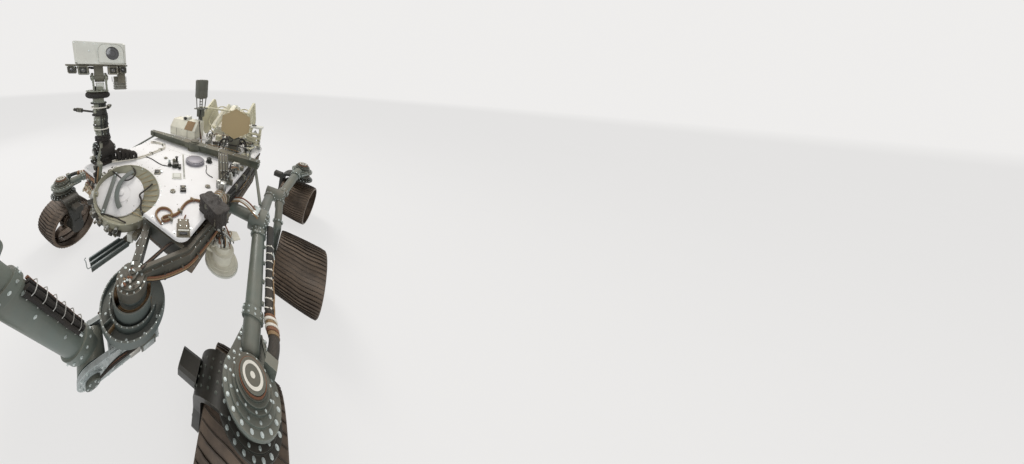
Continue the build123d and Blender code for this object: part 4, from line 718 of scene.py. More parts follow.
class ROVER_OT_steering(bpy.types.Operator):
    """Adds the bolts, caps and plates of the steering drives and forks"""
    bl_idname = "rover.steering"
    bl_label = "Steering"

    def execute(self, context):
        big = sizes().bolt / MM
        for name, side, place in wheel_frames():
            if name.startswith("middle"):
                continue
            fork = Maker(place)
            top = FORK_TOP - WHEEL_RADIUS
            fork.bolt_ring((0, 0, top - 14), 117.5, 22, size=big * 0.85)
            fork.bolt_ring((0, 0, top), 99, 16, size=big * 0.7, first=8)
            for turn in (102, 120, 138, 156, 172):
                lean = Vector((cos(radians(turn)), sin(radians(turn))))
                for x in (-46, -16, 16, 46):
                    spot = (x, side * (-97 + 118 * lean.x), 259 + 118 * lean.y)
                    fork.bolt(spot, (0, side * lean.x, lean.y), 3.6, paint=1)
            for z in (40, 200):
                fork.bolts((-48, 48), -side * 215, z, (0, -side, 0), 3.6, paint=1)
            fork.finish("fork_bolts_" + name, "steer_" + name, "bare_metal", "bolt metal", "plate grey")
            x, y = place.translation.x, place.translation.y
            drive = Maker(Matrix.Translation((x, y, 0)))
            drive.bolt_ring((0, 0, LEG_END_Z - 8), 98, 18, size=big * 0.8)
            drive.bolt_ring((0, 0, LEG_END_Z + 4), 79, 12, size=big * 0.6, first=12)
            drive.bolt_ring((0, 0, HOUSING_TOP - 38), 69, 12, size=2.6)
            drive.band(HOUSING_TOP - 20, HOUSING_TOP - 5, 47, 50, "Z", 40, paint=1)
            drive.band(HOUSING_TOP, HOUSING_TOP + 1.2, 28, 37, "Z", 40, paint=2)
            drive.drum((0, 0, HOUSING_TOP), 9, 1.2, paint=2)
            drive.finish("drive_trim_" + name, "chassis", "bare_metal", "bolt metal", "copper braid",
                         "tie white")
        return {"FINISHED"}


def at_side(place, side):
    """A place on the left side, or its mirror image."""
    return Vector((place[0], side * place[1], place[2]))


def round_bolts(maker, centre, run, radius, count, size, paint=0):
    """Bolts that stand out of a tube all round it."""
    first = run.orthogonal().normalized()
    second = run.cross(first).normalized()
    for i in range(count):
        way = first * cos(2 * pi * i / count) + second * sin(2 * pi * i / count)
        maker.bolt(centre + way * radius, way, size, paint)


# Ties, connectors and bolts of the legs

TIE_SHARES = (0.25, 0.32, 0.39, 0.46, 0.53, 0.60, 0.67, 0.73)
PLUG_STEPS = (
    # start along the harness, length, radius, finish
    (-46, 12, 25, 3), (-34, 14, 27.5, 2), (-20, 10, 31, 1), (-10, 16, 26, 4), (6, 10, 31, 1), (16, 14, 28, 2),
    (30, 16, 25, 3),
)


class ROVER_OT_legs(bpy.types.Operator):
    """Adds the ties, plugs and bolts of the rockers and bogies"""
    bl_idname = "rover.legs"
    bl_label = "Legs"

    def execute(self, context):
        for name, side in SIDES:
            trim = Maker()
            leg_ties(trim, side)
            leg_bolts(trim, side)
            trim.finish("leg_trim_" + name, "chassis", "bare_metal", "bolt metal", "tie white",
                        "copper braid", "harness black", "tan cable")
        return {"FINISHED"}


def leg_ties(trim, side):
    """White ties, the plug and the small wires along one rocker's harness."""
    pivot, front = at_side(ROCKER_PIVOT, side), at_side(ROCKER_FRONT, side)
    out = Vector((0, side * HARNESS_OUT, 0))
    run = (front - pivot).normalized()
    for share in TIE_SHARES:
        spot = pivot.lerp(front, share) + out
        trim.drum(spot - run * 2.5, HARNESS_RADIUS + 1.4, 5, axis=run, segments=20, paint=1)
        trim.box(spot + Vector((0, side * 6, HARNESS_RADIUS + 1)), (9, 8, 5), bevel=1, paint=1)
    start, end = at_side((826, 1037, 769), side), at_side((925, 1080, 778), side)
    run = (end - start).normalized()
    for reach, length, radius, paint in PLUG_STEPS:
        trim.drum(start.lerp(end, 0.45) + run * reach, radius, length, axis=run, segments=20, bevel=1.5,
                  paint=paint)
    for share, drop in ((0.30, 5), (0.52, -4), (0.66, 3)):
        a, b = pivot.lerp(front, share) + out, pivot.lerp(front, share + 0.2) + out
        trim.wire([a + Vector((0, side * 17, 17)), a.lerp(b, 0.3) + Vector((0, side * (22 + drop), 16)),
                   a.lerp(b, 0.7) + Vector((0, side * (20 - drop), 18)), b + Vector((0, side * 17, 17))],
                   3.2, paint=4)
    for share, paint in ((0.0, 2), (0.35, 1), (0.7, 4)):
        x = 330 + 70 * share
        trim.wire([(x, side * 618, 930), (x - 10, side * 680, 985), (x + 6, side * 760, 985),
                   (x + 24, side * 826, 948), (x + 30, side * 850, 934)], 6.5, paint=paint)
    trim.box((352, side * 826, 947), (96, 40, 16), bevel=2)


def leg_bolts(trim, side):
    """Bolts on the collars, hubs and end plates of one side's legs."""
    pivot, front = at_side(ROCKER_PIVOT, side), at_side(ROCKER_FRONT, side)
    tubes = (
        # start, end, collar radius
        (pivot, front, 49), (pivot, at_side((-470, 800, 610), side), 49),
        (at_side((-470, 895, 610), side), at_side((-975, 998, 742), side), 49),
        (at_side((-470, 895, 610), side), at_side((-150, 943, 470), side), 43),
    )
    for start, end, radius in tubes:
        for share in (0.145, 0.185, 0.815, 0.845):
            round_bolts(trim, start.lerp(end, share), (end - start).normalized(), radius, 10, 3.4)
    faces = (
        # x, y, z, circle, count, size
        (320, 894, 850, 85, 18, 4.6), (320, 902, 850, 68, 12, 5.2), (320, 910, 850, 40, 6, 6),
        (-470, 923.3, 610, 67, 14, 4.6), (-470, 931.3, 610, 50, 10, 5),
    )
    for x, y, z, circle, count, size in faces:
        trim.bolt_ring((x, side * y, z), circle, count, axis=(0, side, 0), size=size)
    for x, inward in ((1100, -1), (-1080, 1)):
        for step in (0.25, 0.5, 0.75, 0.95):
            for way in (-1, 1):
                trim.bolt((x + inward * (82 + 96 * step), side * (1030 - 34 * step + way * (84 - 38 * step)),
                           LEG_END_Z - 8), size=4.6)


# The deck

DECK_Z = DECK_TOP + 0.3
STORE_PLAN = (950, 40)
DECK_CLEAR = (
    # x, y, radius kept free of fasteners
    (950, 40, 285), (MAST_X, MAST_Y, 150), (219, 181, 120), (410, 60, 130), (738, 650, 140), (950, 572, 80),
    (DISH_X, DISH_Y, 110), (-430, -385, 260), (280, 500, 190), (-40, 0, 100), (538, 198, 80), (600, 20, 60),
    (650, 350, 60), (340, 126, 60), (120, 290, 50),
)


class ROVER_OT_deck(bpy.types.Operator):
    """Adds the deck's fasteners, seams and wiring, and the fixtures on it"""
    bl_idname = "rover.deck"
    bl_label = "Deck"

    def execute(self, context):
        deck_fasteners()
        deck_wiring()
        deck_fixtures()
        corner_camera()
        return {"FINISHED"}


def deck_fasteners():
    """Edge bolts, small fasteners and two seams on the deck."""
    trim = Maker()
    edge = [(x, side * 598) for x in range(-620, 1000, 90) for side in (-1, 1)]
    edge += [(x, y) for y in range(-540, 560, 90) for x in (-646, 992)]
    for x, y in edge:
        if (x - STORE_PLAN[0]) ** 2 + (y - STORE_PLAN[1]) ** 2 > 300 ** 2 and not (600 < x < 860 and y > 0):
            trim.bolt((x, y, DECK_TOP), size=5)
    places = random.Random(11)
    for _ in range(150):
        x, y = places.uniform(-600, 960), places.uniform(-560, 560)
        if all((x - cx) ** 2 + (y - cy) ** 2 > r ** 2 for cx, cy, r in DECK_CLEAR) and abs(x + 40) > 80:
            trim.drum((x, y, DECK_TOP), places.choice((2.6, 3.4, 4.2)), 1.4, segments=10, paint=1)
    for x in (-215, 140):
        trim.bar((x, -604, DECK_TOP), (x, 604, DECK_TOP), 1.6, 0.8, paint=1)
    trim.bar((140, -30, DECK_TOP), (712, -30, DECK_TOP), 1.6, 0.8, paint=1)
    rim = [(STORE_PLAN[0] + 262 * cos(radians(a)) * 0.99, STORE_PLAN[1] + 262 * sin(radians(a)))
           for a in range(98, 300, 12)]
    for x, y in rim:
        trim.bolt((x, y, DECK_TOP), size=3.6)
    trim.finish("deck_fasteners", "chassis", "bare_metal", "bolt metal", "box grey")


DECK_LOOP = ((1000, 440), (985, 380), (950, 348), (905, 352), (880, 396), (896, 446), (940, 462), (985, 436),
             (960, 412), (924, 436), (895, 464), (850, 468), (800, 456), (752, 452), (706, 470), (684, 500),
             (676, 540))
EDGE_RUN = ((770, -470), (735, -446), (690, -420), (640, -386), (585, -352), (520, -318), (450, -302),
            (380, -298), (310, -295), (240, -290), (176, -286), (140, -304), (112, -356), (98, -404),
            (104, -452), (130, -505), (150, -545))


def deck_wiring():
    """The brown wires to the blanketed box and the pale harness along the deck's right edge."""
    wires = Maker()
    for lift, side_step, paint in ((8, 0, 0), (8, 11, 0), (15, 5, 1)):
        wires.wire([(x + side_step * 0.4, y + side_step, DECK_TOP + lift) for x, y in DECK_LOOP], 5.2,
                   paint=paint)
    for share in (6, 11, 14):
        x, y = DECK_LOOP[share]
        wires.box((x, y + 5, DECK_TOP + 11), (12, 34, 22), bevel=2, paint=3)
    for step, lift, radius, paint in ((0, 9, 7, 1), (14, 8, 7, 2), (-13, 8, 6, 0), (2, 20, 6, 2)):
        wires.wire([(x + step * 0.6, y + step * 0.8, DECK_TOP + lift) for x, y in EDGE_RUN], radius,
                   paint=paint)
    for spot in (1, 4, 7, 9, 12, 15):
        x, y = EDGE_RUN[spot]
        wires.box((x, y, DECK_TOP + 13), (14, 44, 27), turn=30, bevel=2, paint=3)
    wires.wire([(470, -300, DECK_TOP + 5), (455, -240, DECK_TOP + 5), (470, -140, DECK_TOP + 5),
                (486, -50, DECK_TOP + 5), (470, 10, DECK_TOP + 5), (440, 50, DECK_TOP + 6)], 4, paint=4)
    wires.wire([(200, 300, DECK_TOP + 4), (236, 330, DECK_TOP + 4), (300, 352, DECK_TOP + 4),
                (345, 396, DECK_TOP + 4), (352, 450, DECK_TOP + 6)], 3.4, paint=4)
    wires.finish("deck_wires", "chassis", "cable", "copper braid", "tan cable", "tie white", "box grey",
                 "harness black")


def deck_fixtures():
    """The discs, pads, bare ruler strip and ribbed wedge on the deck, each with its own finish."""
    made = Maker()
    grey, dark, pale, violet, silver, ink = range(6)
    made.drum((219, 181, DECK_Z), 95, 30, segments=72, bevel=3, paint=violet)
    made.drum((219, 181, DECK_Z + 30), 84, 8, segments=72, bevel=2.5, paint=violet)
    made.band(DECK_Z + 38, DECK_Z + 39, 66, 69, "Z", 72, (219, 181, 0), paint=grey)
    made.bolt_ring((219, 181, DECK_Z + 30), 89.5, 20, size=2.4, paint=silver)
    for x, y, steps, paint in ((120, 290, ((34, 8), (24, 36), (17, 6), (8, 6)), dark),
                               (408, 82, ((40, 12), (30, 14), (26, 12)), dark),
                               (719, 302, ((22, 8), (15, 4)), grey), (347, -106, ((20, 8), (14, 4)), grey),
                               (492, 480, ((22, 8), (15, 4)), grey),
                               (330, 30, ((18, 8), (11, 40), (16, 10)), dark),
                               (372, 30, ((15, 30), (19, 8), (10, 12)), grey),
                               (440, 30, ((20, 18), (14, 14)), dark),
                               (392, -16, ((13, 22), (9, 14)), silver)):
        z = DECK_Z
        for radius, height in steps:
            made.drum((x, y, z), radius, height, segments=36, bevel=min(1.6, height / 4), paint=paint)
            z += height
        made.bolt_ring((x, y, DECK_Z + steps[0][1]), steps[0][0] * 0.86, 6, size=1.8, paint=silver)
    turn = 38
    made.box((538, 198, DECK_Z + 4), (84, 84, 8), turn, bevel=1.5, paint=pale)
    made.box((538, 198, DECK_Z + 8.5), (66, 66, 2), turn, bevel=0.6, paint=grey)
    made.box((538, 198, DECK_Z + 9.5), (60, 60, 2), turn, bevel=0.6, paint=pale)
    made.box((600, 20, DECK_Z + 3), (78, 60, 6), turn, bevel=1.5, paint=grey)
    made.drum((606, 16, DECK_Z + 6), 22, 7, segments=32, bevel=1.2, paint=dark)
    made.box((576, 44, DECK_Z + 9), (24, 22, 12), turn, bevel=1.5, paint=silver)
    made.box((650, 350, DECK_Z + 10), (60, 46, 20), turn, bevel=2.5, paint=dark)
    made.drum((650, 350, DECK_Z + 20), 13, 10, segments=24, bevel=1, paint=grey)
    made.bolt_ring((650, 350, DECK_Z + 20), 19, 4, size=2, first=40, paint=silver)
    made.box((408, 130, DECK_Z + 14), (52, 26, 28), turn, bevel=2, paint=dark)
    made.box((440, 78, DECK_Z + 20), (26, 20, 40), turn, bevel=2, paint=dark)
    way = Vector((cos(radians(turn)), sin(radians(turn)), 0))
    middle = Vector((340, 126, DECK_Z))
    made.box(middle + Vector((0, 0, 2)), (470, 18, 4), turn, bevel=0.8, paint=pale)
    for i in range(-10, 11):
        made.box(middle + way * (i * 21) + Vector((0, 0, 4)), (10.5, 12, 0.8), turn, paint=ink)
    wedge(made, grey, dark, silver)
    piece = made.finish("deck_fixtures_full", "chassis", "bare_metal", "box grey", "fork black",
                        "chalky white", "disc lavender", "bolt metal", "harness black")
    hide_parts("deck_fixtures")


def wedge(made, grey, dark, silver):
    """The ribbed wedge that leans up towards the deck's middle, on its post."""
    foot, head = Vector((395, 575, DECK_Z + 26)), Vector((160, 446, DECK_Z + 150))
    run = (head - foot).normalized()
    across = Vector((0, 0, 1)).cross(run).normalized()
    lift = run.cross(across)
    made.bar(foot, head, 86, 36, bevel=3, paint=grey)
    for reach in (-36, -12, 12, 36):
        made.bar(foot + across * reach + lift * 20, head + across * reach + lift * 20, 8, 20, bevel=1.5,
                 paint=dark)
    for share in (0.08, 0.36, 0.64, 0.92):
        spot = foot.lerp(head, share)
        made.bar(spot - across * 43 + lift * 14, spot + across * 43 + lift * 14, 7, 12, bevel=1, paint=grey)
        for reach in (-24, 0, 24):
            made.bolt(spot + across * reach + lift * 18, lift, 3, silver)
    made.drum((175, 455, DECK_Z), 22, 128, segments=32, bevel=1.5, paint=grey)
    made.drum((175, 455, DECK_Z), 34, 10, segments=32, bevel=1.5, paint=dark)
    made.bolt_ring((175, 455, DECK_Z + 10), 28, 8, size=2.6, paint=silver)


def corner_camera():
    """The lens, frame and screws of the small camera on the deck's front left corner."""
    trim = Maker(turned((948, 572, DECK_Z + 30), 38))
    trim.box((40, 0, -3), (5, 54, 28), bevel=1)
    trim.box((43, 0, -3), (3, 44, 18), bevel=0.8, paint=1)
    trim.box((41, 0, 17), (7, 62, 3), bevel=0.8, paint=2)
    trim.bolt_ring((0, 0, 23), 26, 4, size=2.6, first=45, paint=3)
    for y in (-22, -11, 0, 11, 22):
        trim.box((0, y, 24), (46, 3, 4), bevel=0.8)
    trim.wire([(-38, 10, -10), (-60, 16, -16), (-84, 6, -22), (-110, 20, -25)], 4, paint=4)
    trim.finish("corner_camera_trim", "chassis", "bare_metal", "box grey", "lens glass", "chalky white",
                "bolt metal", "copper braid")


# The arm's shoulder

BRACKET_RUNS = (((640, 650), (985, 634)), ((985, 634), (ARM_X, ARM_Y)), ((965, 300), (ARM_X, ARM_Y)))


class ROVER_OT_shoulder(bpy.types.Operator):
    """Adds the bolts, wires and bright edges of the arm's bracket, ring and turntable"""
    bl_idname = "rover.shoulder"
    bl_label = "Arm shoulder"

    def execute(self, context):
        bracket_trim()
        ring_trim()
        turntable_trim()
        return {"FINISHED"}


def bracket_trim():
    """Bolts, cap strips, wires and the bright fittings on the arm's bracket."""
    trim = Maker()
    for start, end in BRACKET_RUNS:
        a, b = Vector((*start, 1007)), Vector((*end, 1007))
        run = (b - a).normalized()
        across = Vector((-run.y, run.x, 0))
        count = int((b - a).length / 46)
        for i in range(1, count):
            spot = a.lerp(b, i / count)
            if (spot - Vector((ARM_X, ARM_Y, 1007))).length > 86:
                for way in (-1, 1):
                    trim.bolt(spot + across * way * 16, size=2.2)
        top = Vector((0, 0, 21)) if (start, end) != BRACKET_RUNS[2] else Vector((0, 0, 1))
        trim.bar(a + top, b - run * 70 + top, 20, 3, bevel=0.8, paint=1)
    trim.bolt_ring((ARM_X, ARM_Y, 1007), 50, 8, size=4.2)
    trim.bolt_ring((ARM_X, ARM_Y, 995), 68, 14, size=2.8, first=10)
    trim.drum((ARM_X, ARM_Y, 1007), 30, 12, segments=32, bevel=2, paint=1)
    bits = random.Random(5)
    for _ in range(15):
        angle, reach = bits.uniform(0, 2 * pi), bits.uniform(10, 52)
        spot = (1262 + reach * cos(angle), 492 + reach * sin(angle), 1013 + bits.uniform(0, 16))
        if bits.random() < 0.5:
            trim.rod(spot, Vector(spot)
                     + Vector((bits.uniform(-14, 14), bits.uniform(-14, 14), bits.uniform(2, 14))),
                     bits.uniform(3, 6), segments=10, bevel=0.8, paint=bits.choice((0, 2)))
        else:
            trim.box(spot, (bits.uniform(8, 18), bits.uniform(6, 14), bits.uniform(6, 16)),
                     bits.uniform(0, 90), bevel=1, paint=bits.choice((0, 0, 1, 4)))
    outer = ((652, 680, 948), (760, 682, 950), (985, 668, 944), (1060, 640, 946), (1180, 572, 952),
             (1236, 520, 980))
    for lift, radius, paint in ((0, 5.5, 3), (12, 4.5, 2), (-10, 4, 5)):
        trim.wire([(x, y, z + lift) for x, y, z in outer], radius, paint=paint)
    for x, y, turn in ((700, 677, -2), (820, 673, -2), (930, 668, -2), (1040, 640, -27), (1130, 593, -27)):
        trim.box((x, y - 3, 949), (10, 22, 36), turn, bevel=1.5, paint=1)
    inner = ((980, 560, 1012), (1010, 530, 1016), (1080, 520, 1016), (1160, 512, 1016), (1220, 508, 1022))
    for lift, radius, paint in ((0, 7, 5), (13, 6, 5), (8, 4, 2)):
        trim.wire([(x, y + lift, z + lift * 0.4) for x, y, z in inner], radius, paint=paint)
    trim.finish("bracket_trim", "chassis", "bare_metal", "bolt metal", "bracket grey", "copper braid",
                "tan cable", "tie white", "harness black")


def ring_trim():
    """The ribbon wires wound in the shoulder's cup, and the screws and edges of its trough."""
    trim = Maker()
    centre = (ARM_X, ARM_Y, 0)
    for i, (radius, low,
            high) in enumerate(((72.5, 822, 886), (76, 824, 902), (79.5, 823, 896), (83, 823, 905),
                                (86.5, 822, 899), (89.5, 822, 907))):
        trim.spun([(low, radius), (high, radius), (high, radius + 1.5), (low, radius + 1.5)], axis="Z",
                  centre=centre, steps=40, sweep=330 if i % 2 else 300, paint=i % 2)
    trim.spun([(910, 92.5), (914, 92.5), (914, 99), (910, 99)], axis="Z", centre=centre, steps=64, paint=2)
    trim.bolt_ring((ARM_X, ARM_Y, 861), 158.5, 30, size=1.8, first=190, span=282, paint=3)
    trim.bolt_ring((ARM_X, ARM_Y, 861), 115.5, 24, size=1.8, first=190, span=282, paint=3)
    trim.bolt_ring((ARM_X, ARM_Y, 822), 137, 9, size=4, first=196, span=270, paint=3)
    for turn in (200, 214, 352, 6):
        spot = turned((ARM_X, ARM_Y, 0), turn)
        trim.box(spot @ Vector((137, 0, 840)), (44, 3, 34), turn, bevel=0.8, paint=2)
    for turn, paint in ((150, 1), (162, 4), (172, 0)):
        spot = turned((ARM_X, ARM_Y, 0), turn)
        trim.wire([spot @ Vector(p)
                   for p in ((84, 0, 896), (92, 6, 918), (74, 14, 940), (66, 10, 968), (60, 4, 1000))], 5,
                   paint=paint)
    trim.finish("ring_trim", "chassis", "bare_metal", "copper braid", "tan cable", "ring grey", "bolt metal",
                "harness black")


def turntable_trim():
    """Bright machined edges, diagonals, caps and screws on the turning shoulder."""
    trim = Maker(turned((ARM_X, ARM_Y, 0), ARM_TURN))
    for way in (-1, 1):
        y = way * 86
        lines = [((-96, 616), (200, 616)), ((-96, 734), (200, 734)), ((-93, 613), (-93, 737)),
                 ((34, 613), (34, 737)), ((158, 613), (158, 737)), ((-88, 728), (28, 622)),
                 ((40, 728), (152, 622))]
        for (xa, za), (xb, zb) in lines:
            trim.bar((xa, y, za), (xb, y, zb), 7, 3, bevel=0.8, up=LEFTWARD)
        for x in (-93, -30, 34, 96, 158):
            trim.bolts(x, y + way * 1.4, (616, 734), (0, way, 0), 2.4, paint=1)
        trim.bolt_ring((220, way * 86, 675), 50, 10, axis=(0, way, 0), size=4, paint=1)
        trim.drum((220, way * 92, 675), 30, 16, axis=(0, way, 0), segments=36, bevel=2, paint=2)
        trim.bolt_ring((220, way * 108, 675), 21, 6, axis=(0, way, 0), size=3, paint=1)
        trim.bar((-96, way * 76, 737.5), (146, way * 76, 737.5), 9, 3, bevel=0.8)
        trim.bar((-99, way * 70, 618), (-99, way * 70, 732), 10, 3, bevel=0.8, up=AHEAD)
    for x in (-92, -44, 92, 142):
        trim.bar((x, -84, 738), (x, 84, 738), 7, 3, bevel=0.8)
    trim.bar((-99, -84, 618), (-99, 84, 618), 7, 3, bevel=0.8, up=AHEAD)
    trim.bar((-99, -84, 732), (-99, 84, 732), 7, 3, bevel=0.8, up=AHEAD)
    trim.bar((-99, -64, 624), (-99, 64, 726), 7, 3, bevel=0.8, up=AHEAD)
    trim.box((-104, 0, 675), (14, 52, 46), bevel=3, paint=2)
    trim.drum((-111, 0, 675), 17, 12, axis=(-1, 0, 0), segments=28, bevel=1.5, paint=3)
    for y in (-104, 104):
        trim.box((-30, y, 690), (74, 34, 52), bevel=3, paint=2)
        trim.box((-30, y * 1.18, 690), (56, 4, 36), bevel=1)
        trim.rod((12, y, 690), (60, y, 690), 17, segments=24, bevel=1.5, paint=3)
        trim.bolt_ring((60, y, 690), 11, 5, axis=AHEAD, size=2, paint=1)
    trim.bolt_ring((0, 0, 775), 80, 18, size=3.4, paint=1)
    for offset, radius, paint in ((0, 5, 4), (11, 4.5, 4), (5, 3.5, 5)):
        trim.wire([(-60 + offset, 92, 716), (-40 + offset, 116, 742), (20 + offset, 124, 740),
                   (80, 118 - offset, 730), (140, 112 - offset, 716), (190, 112, 700)], radius, paint=paint)
        trim.wire([(-60 + offset, -92, 716), (-30 + offset, -118, 744), (40 + offset, -122, 736),
                   (110, -116 + offset, 726), (170, -110 + offset, 706)], radius, paint=paint)
    trim.finish("turntable_trim", "arm_shoulder", "bare_metal", "machined silver", "bolt metal",
                "plate grey", "bare metal", "harness black", "copper braid")


# Small fittings

CLUTTER_KINDS = ("box", "plug", "box", "can", "plug", "box")
CLUTTER_PAINTS = ("bare metal", "box grey", "fork black", "chalky white", "harness black", "copper braid",
                  "tan cable")


def scattered(bits, low, high, count, holes=()):
    """Spots in a rectangle of a plane, outside some circles given as (x, y, radius)."""
    spots = []
    while len(spots) < count:
        x, y = bits.uniform(low[0], high[0]), bits.uniform(low[1], high[1])
        if all((x - hx) ** 2 + (y - hy) ** 2 > r * r for hx, hy, r in holes):
            spots.append((x, y))
    return spots


def fittings(made, bits, plane, spots, deep, wide=46):
    """Small boxes, plugs and cans stood on a plane, with wires that loop from plug to plug."""
    out = plane.to_3x3() @ Vector((0, 0, 1))
    before = None
    for i, (x, y) in enumerate(spots):
        base = plane @ Vector((x, y, 0))
        tall = bits.uniform(*deep)
        paint = bits.choice((0, 0, 1, 1, 2, 3))
        kind = CLUTTER_KINDS[i % len(CLUTTER_KINDS)]
        top = base + out * tall
        if kind == "box":
            size = (bits.uniform(16, wide), bits.uniform(14, wide), tall)
            turning = plane.to_3x3().to_4x4() @ Matrix.Rotation(bits.choice((0, 0, 0.3, 1.2)), 4, "Z")
            made.box(base + out * tall / 2, size, matrix=turning, bevel=2, paint=paint)
            made.bolt(top, out, 2.6)
        elif kind == "plug":
            made.drum(base, 12, tall, axis=out, segments=20, bevel=1.2)
            made.drum(top, 9, 13, axis=out, segments=16, paint=paint)
            tip = top + out * 13
            if before:
                made.wire([before, before + out * 18, (before + tip) / 2 + out * 30, tip + out * 18, tip],
                          3.4, paint=bits.choice((4, 4, 5, 6)))
            before = tip
        else:
            made.drum(base, 18, tall, axis=out, segments=28, bevel=2, paint=paint)
            made.drum(top, 10, 5, axis=out, segments=20, paint=3)
            made.bolt_ring(top, 14, 6, axis=out, size=1.8)


# The round tool store

STORE = (*STORE_PLAN, 1075)
STORE_TURN, STORE_TILT = 60, 24


class ROVER_OT_store(bpy.types.Operator):
    """Makes the round tool store with its white cover, beige wall, straps and wires"""
    bl_idname = "rover.store"
    bl_label = "Tool store"

    def execute(self, context):
        made = Maker(turned(STORE, STORE_TURN, STORE_TILT))
        beige, white, strap, silver, black, tan = range(6)
        made.spun([(-110, 60), (-110, 232), (-98, 245), (16, 245), (20, 242), (20, 237), (-38, 236),
                   (-42, 232), (-42, 60)], axis="Z", steps=96, paint=beige)
        store_wall(made, beige, white, tan)
        store_straps(made, strap, silver)
        made.bolt_ring((0, 0, 19), 241, 36, size=1.8, paint=silver)
        made.bolt_ring((-18, -50, -18), 168, 24, size=2.6, first=9, paint=silver)
        made.band(-19, -15, 70, 76, "Z", 64, (-18, -50, 0), paint=white)
        made.drum((-18, -50, -18), 26, 8, segments=40, bevel=2, paint=white)
        for turn in (20, 140, 260):
            spot = about("Z", turn)
            made.box(spot @ Vector((228, 0, -12)), (24, 30, 46), turn, bevel=3, paint=beige)
            made.bolt(spot @ Vector((228, 0, 11)), size=4, paint=silver)
        wires = (((-226, 60, 12), (-170, 96, 10), (-110, 60, 4), (-96, -10, 2), (-150, -50, 4),
                  (-206, -96, 10)),
                  ((210, 84, 12), (150, 64, 6), (90, 96, 2), (40, 76, -2), (20, 130, 0), (-20, 200, 8)),
                  ((120, -190, 8), (150, -120, 0), (196, -70, 4), (222, -40, 14)))
        for line, radius in zip(wires, (6, 7, 5)):
            made.wire(line, radius, paint=black)
        piece = made.finish("bit_carousel_full", "chassis", "grey_paint", "store beige", "deck white",
                            "ring grey", "bolt metal", "harness black", "dish gold")
        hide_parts("bit_carousel")
        store_outside()
        return {"FINISHED"}


def store_outside():
    """The fittings on the outside of the store's wall, from its front round to the body's right side."""
    made, bits = Maker(turned(STORE, STORE_TURN, STORE_TILT)), random.Random(17)
    for turn in range(-176, -18, 9):
        plane = about("Z", turn) @ Matrix.Translation((243, 0, -42)) @ about("Y", 90)
        fittings(made, bits, plane, scattered(bits, (-46, -16), (44, 16), 3), (12, 38), 36)
    made.finish("store_fittings", "chassis", "bare_metal", *CLUTTER_PAINTS)


def store_wall(made, beige, white, tan):
    """The white disc, which sits off the middle, the sloped wall from it up to the rim, and its thin ribs."""
    aside = Vector((-18, -50, 0))
    rings = []
    for z, radius, share in ((14, 236, 0), (10, 233, 0.02), (-16, 200, 0.55), (-30, 180, 1), (-44, 180, 1)):
        rings.append([made.bm.verts.new(aside * share + Vector((radius * cos(a), radius * sin(a), z)))
                      for a in [2 * pi * i / 96 for i in range(96)]])
    for low, high in zip(rings[1:], rings):
        for i in range(96):
            face = made.bm.faces.new((low[i], low[(i + 1) % 96], high[(i + 1) % 96], high[i]))
            face.material_index = beige
    made.drum(aside + Vector((0, 0, -44)), 178, 26, segments=96, bevel=4, paint=white)
    for turn in range(20, 140, 12):
        lean = about("Z", turn)
        made.bar(aside + lean @ Vector((178, 0, -22)), lean @ Vector((231, 0, 12)), 5, 4, bevel=1, paint=tan)


def store_straps(made, strap, silver):
    """A curved strap over the store and a straight one beside it, with their end bolts."""
    curve = [(196 * cos(radians(a)) + 30, 196 * sin(radians(a)) + 130) for a in range(196, 300, 8)]
    wide = [(230 * cos(radians(a)) + 30, 230 * sin(radians(a)) + 130) for a in range(196, 300, 8)]
    inside = [(x, y) for x, y in curve if x * x + y * y < 232 ** 2]
    outside = [(x, y) for x, y in wide if x * x + y * y < 232 ** 2]
    made.prism(inside + outside[::-1], 6, Matrix.Translation((0, 0, 3)), bevel=1.5, paint=strap)
    made.bar((-196, -70, 2), (120, -186, 2), 30, 6, bevel=1.5, paint=strap)
    for x, y in ((-190, -72), (-168, -80), (96, -177), (114, -184)):
        made.bolt((x, y, 5), size=4, paint=silver)


# The body's nose

class ROVER_OT_nose(bpy.types.Operator):
    """Adds the plugs, boxes, pipes and wires on the body's front and its tray"""
    bl_idname = "rover.nose"
    bl_label = "Nose"

    def execute(self, context):
        nose_clutter()
        nose_pipes()
        tray_trim()
        camera_trim()
        return {"FINISHED"}


def nose_spot(bits):
    """A free place on the nose, clear of the calibration plate, the cameras' shelf and the tool store."""
    while True:
        y, z = bits.uniform(-560, -245), bits.uniform(868, 1030)
        if not (-520 < y < -340 and z < 985):
            return y, z


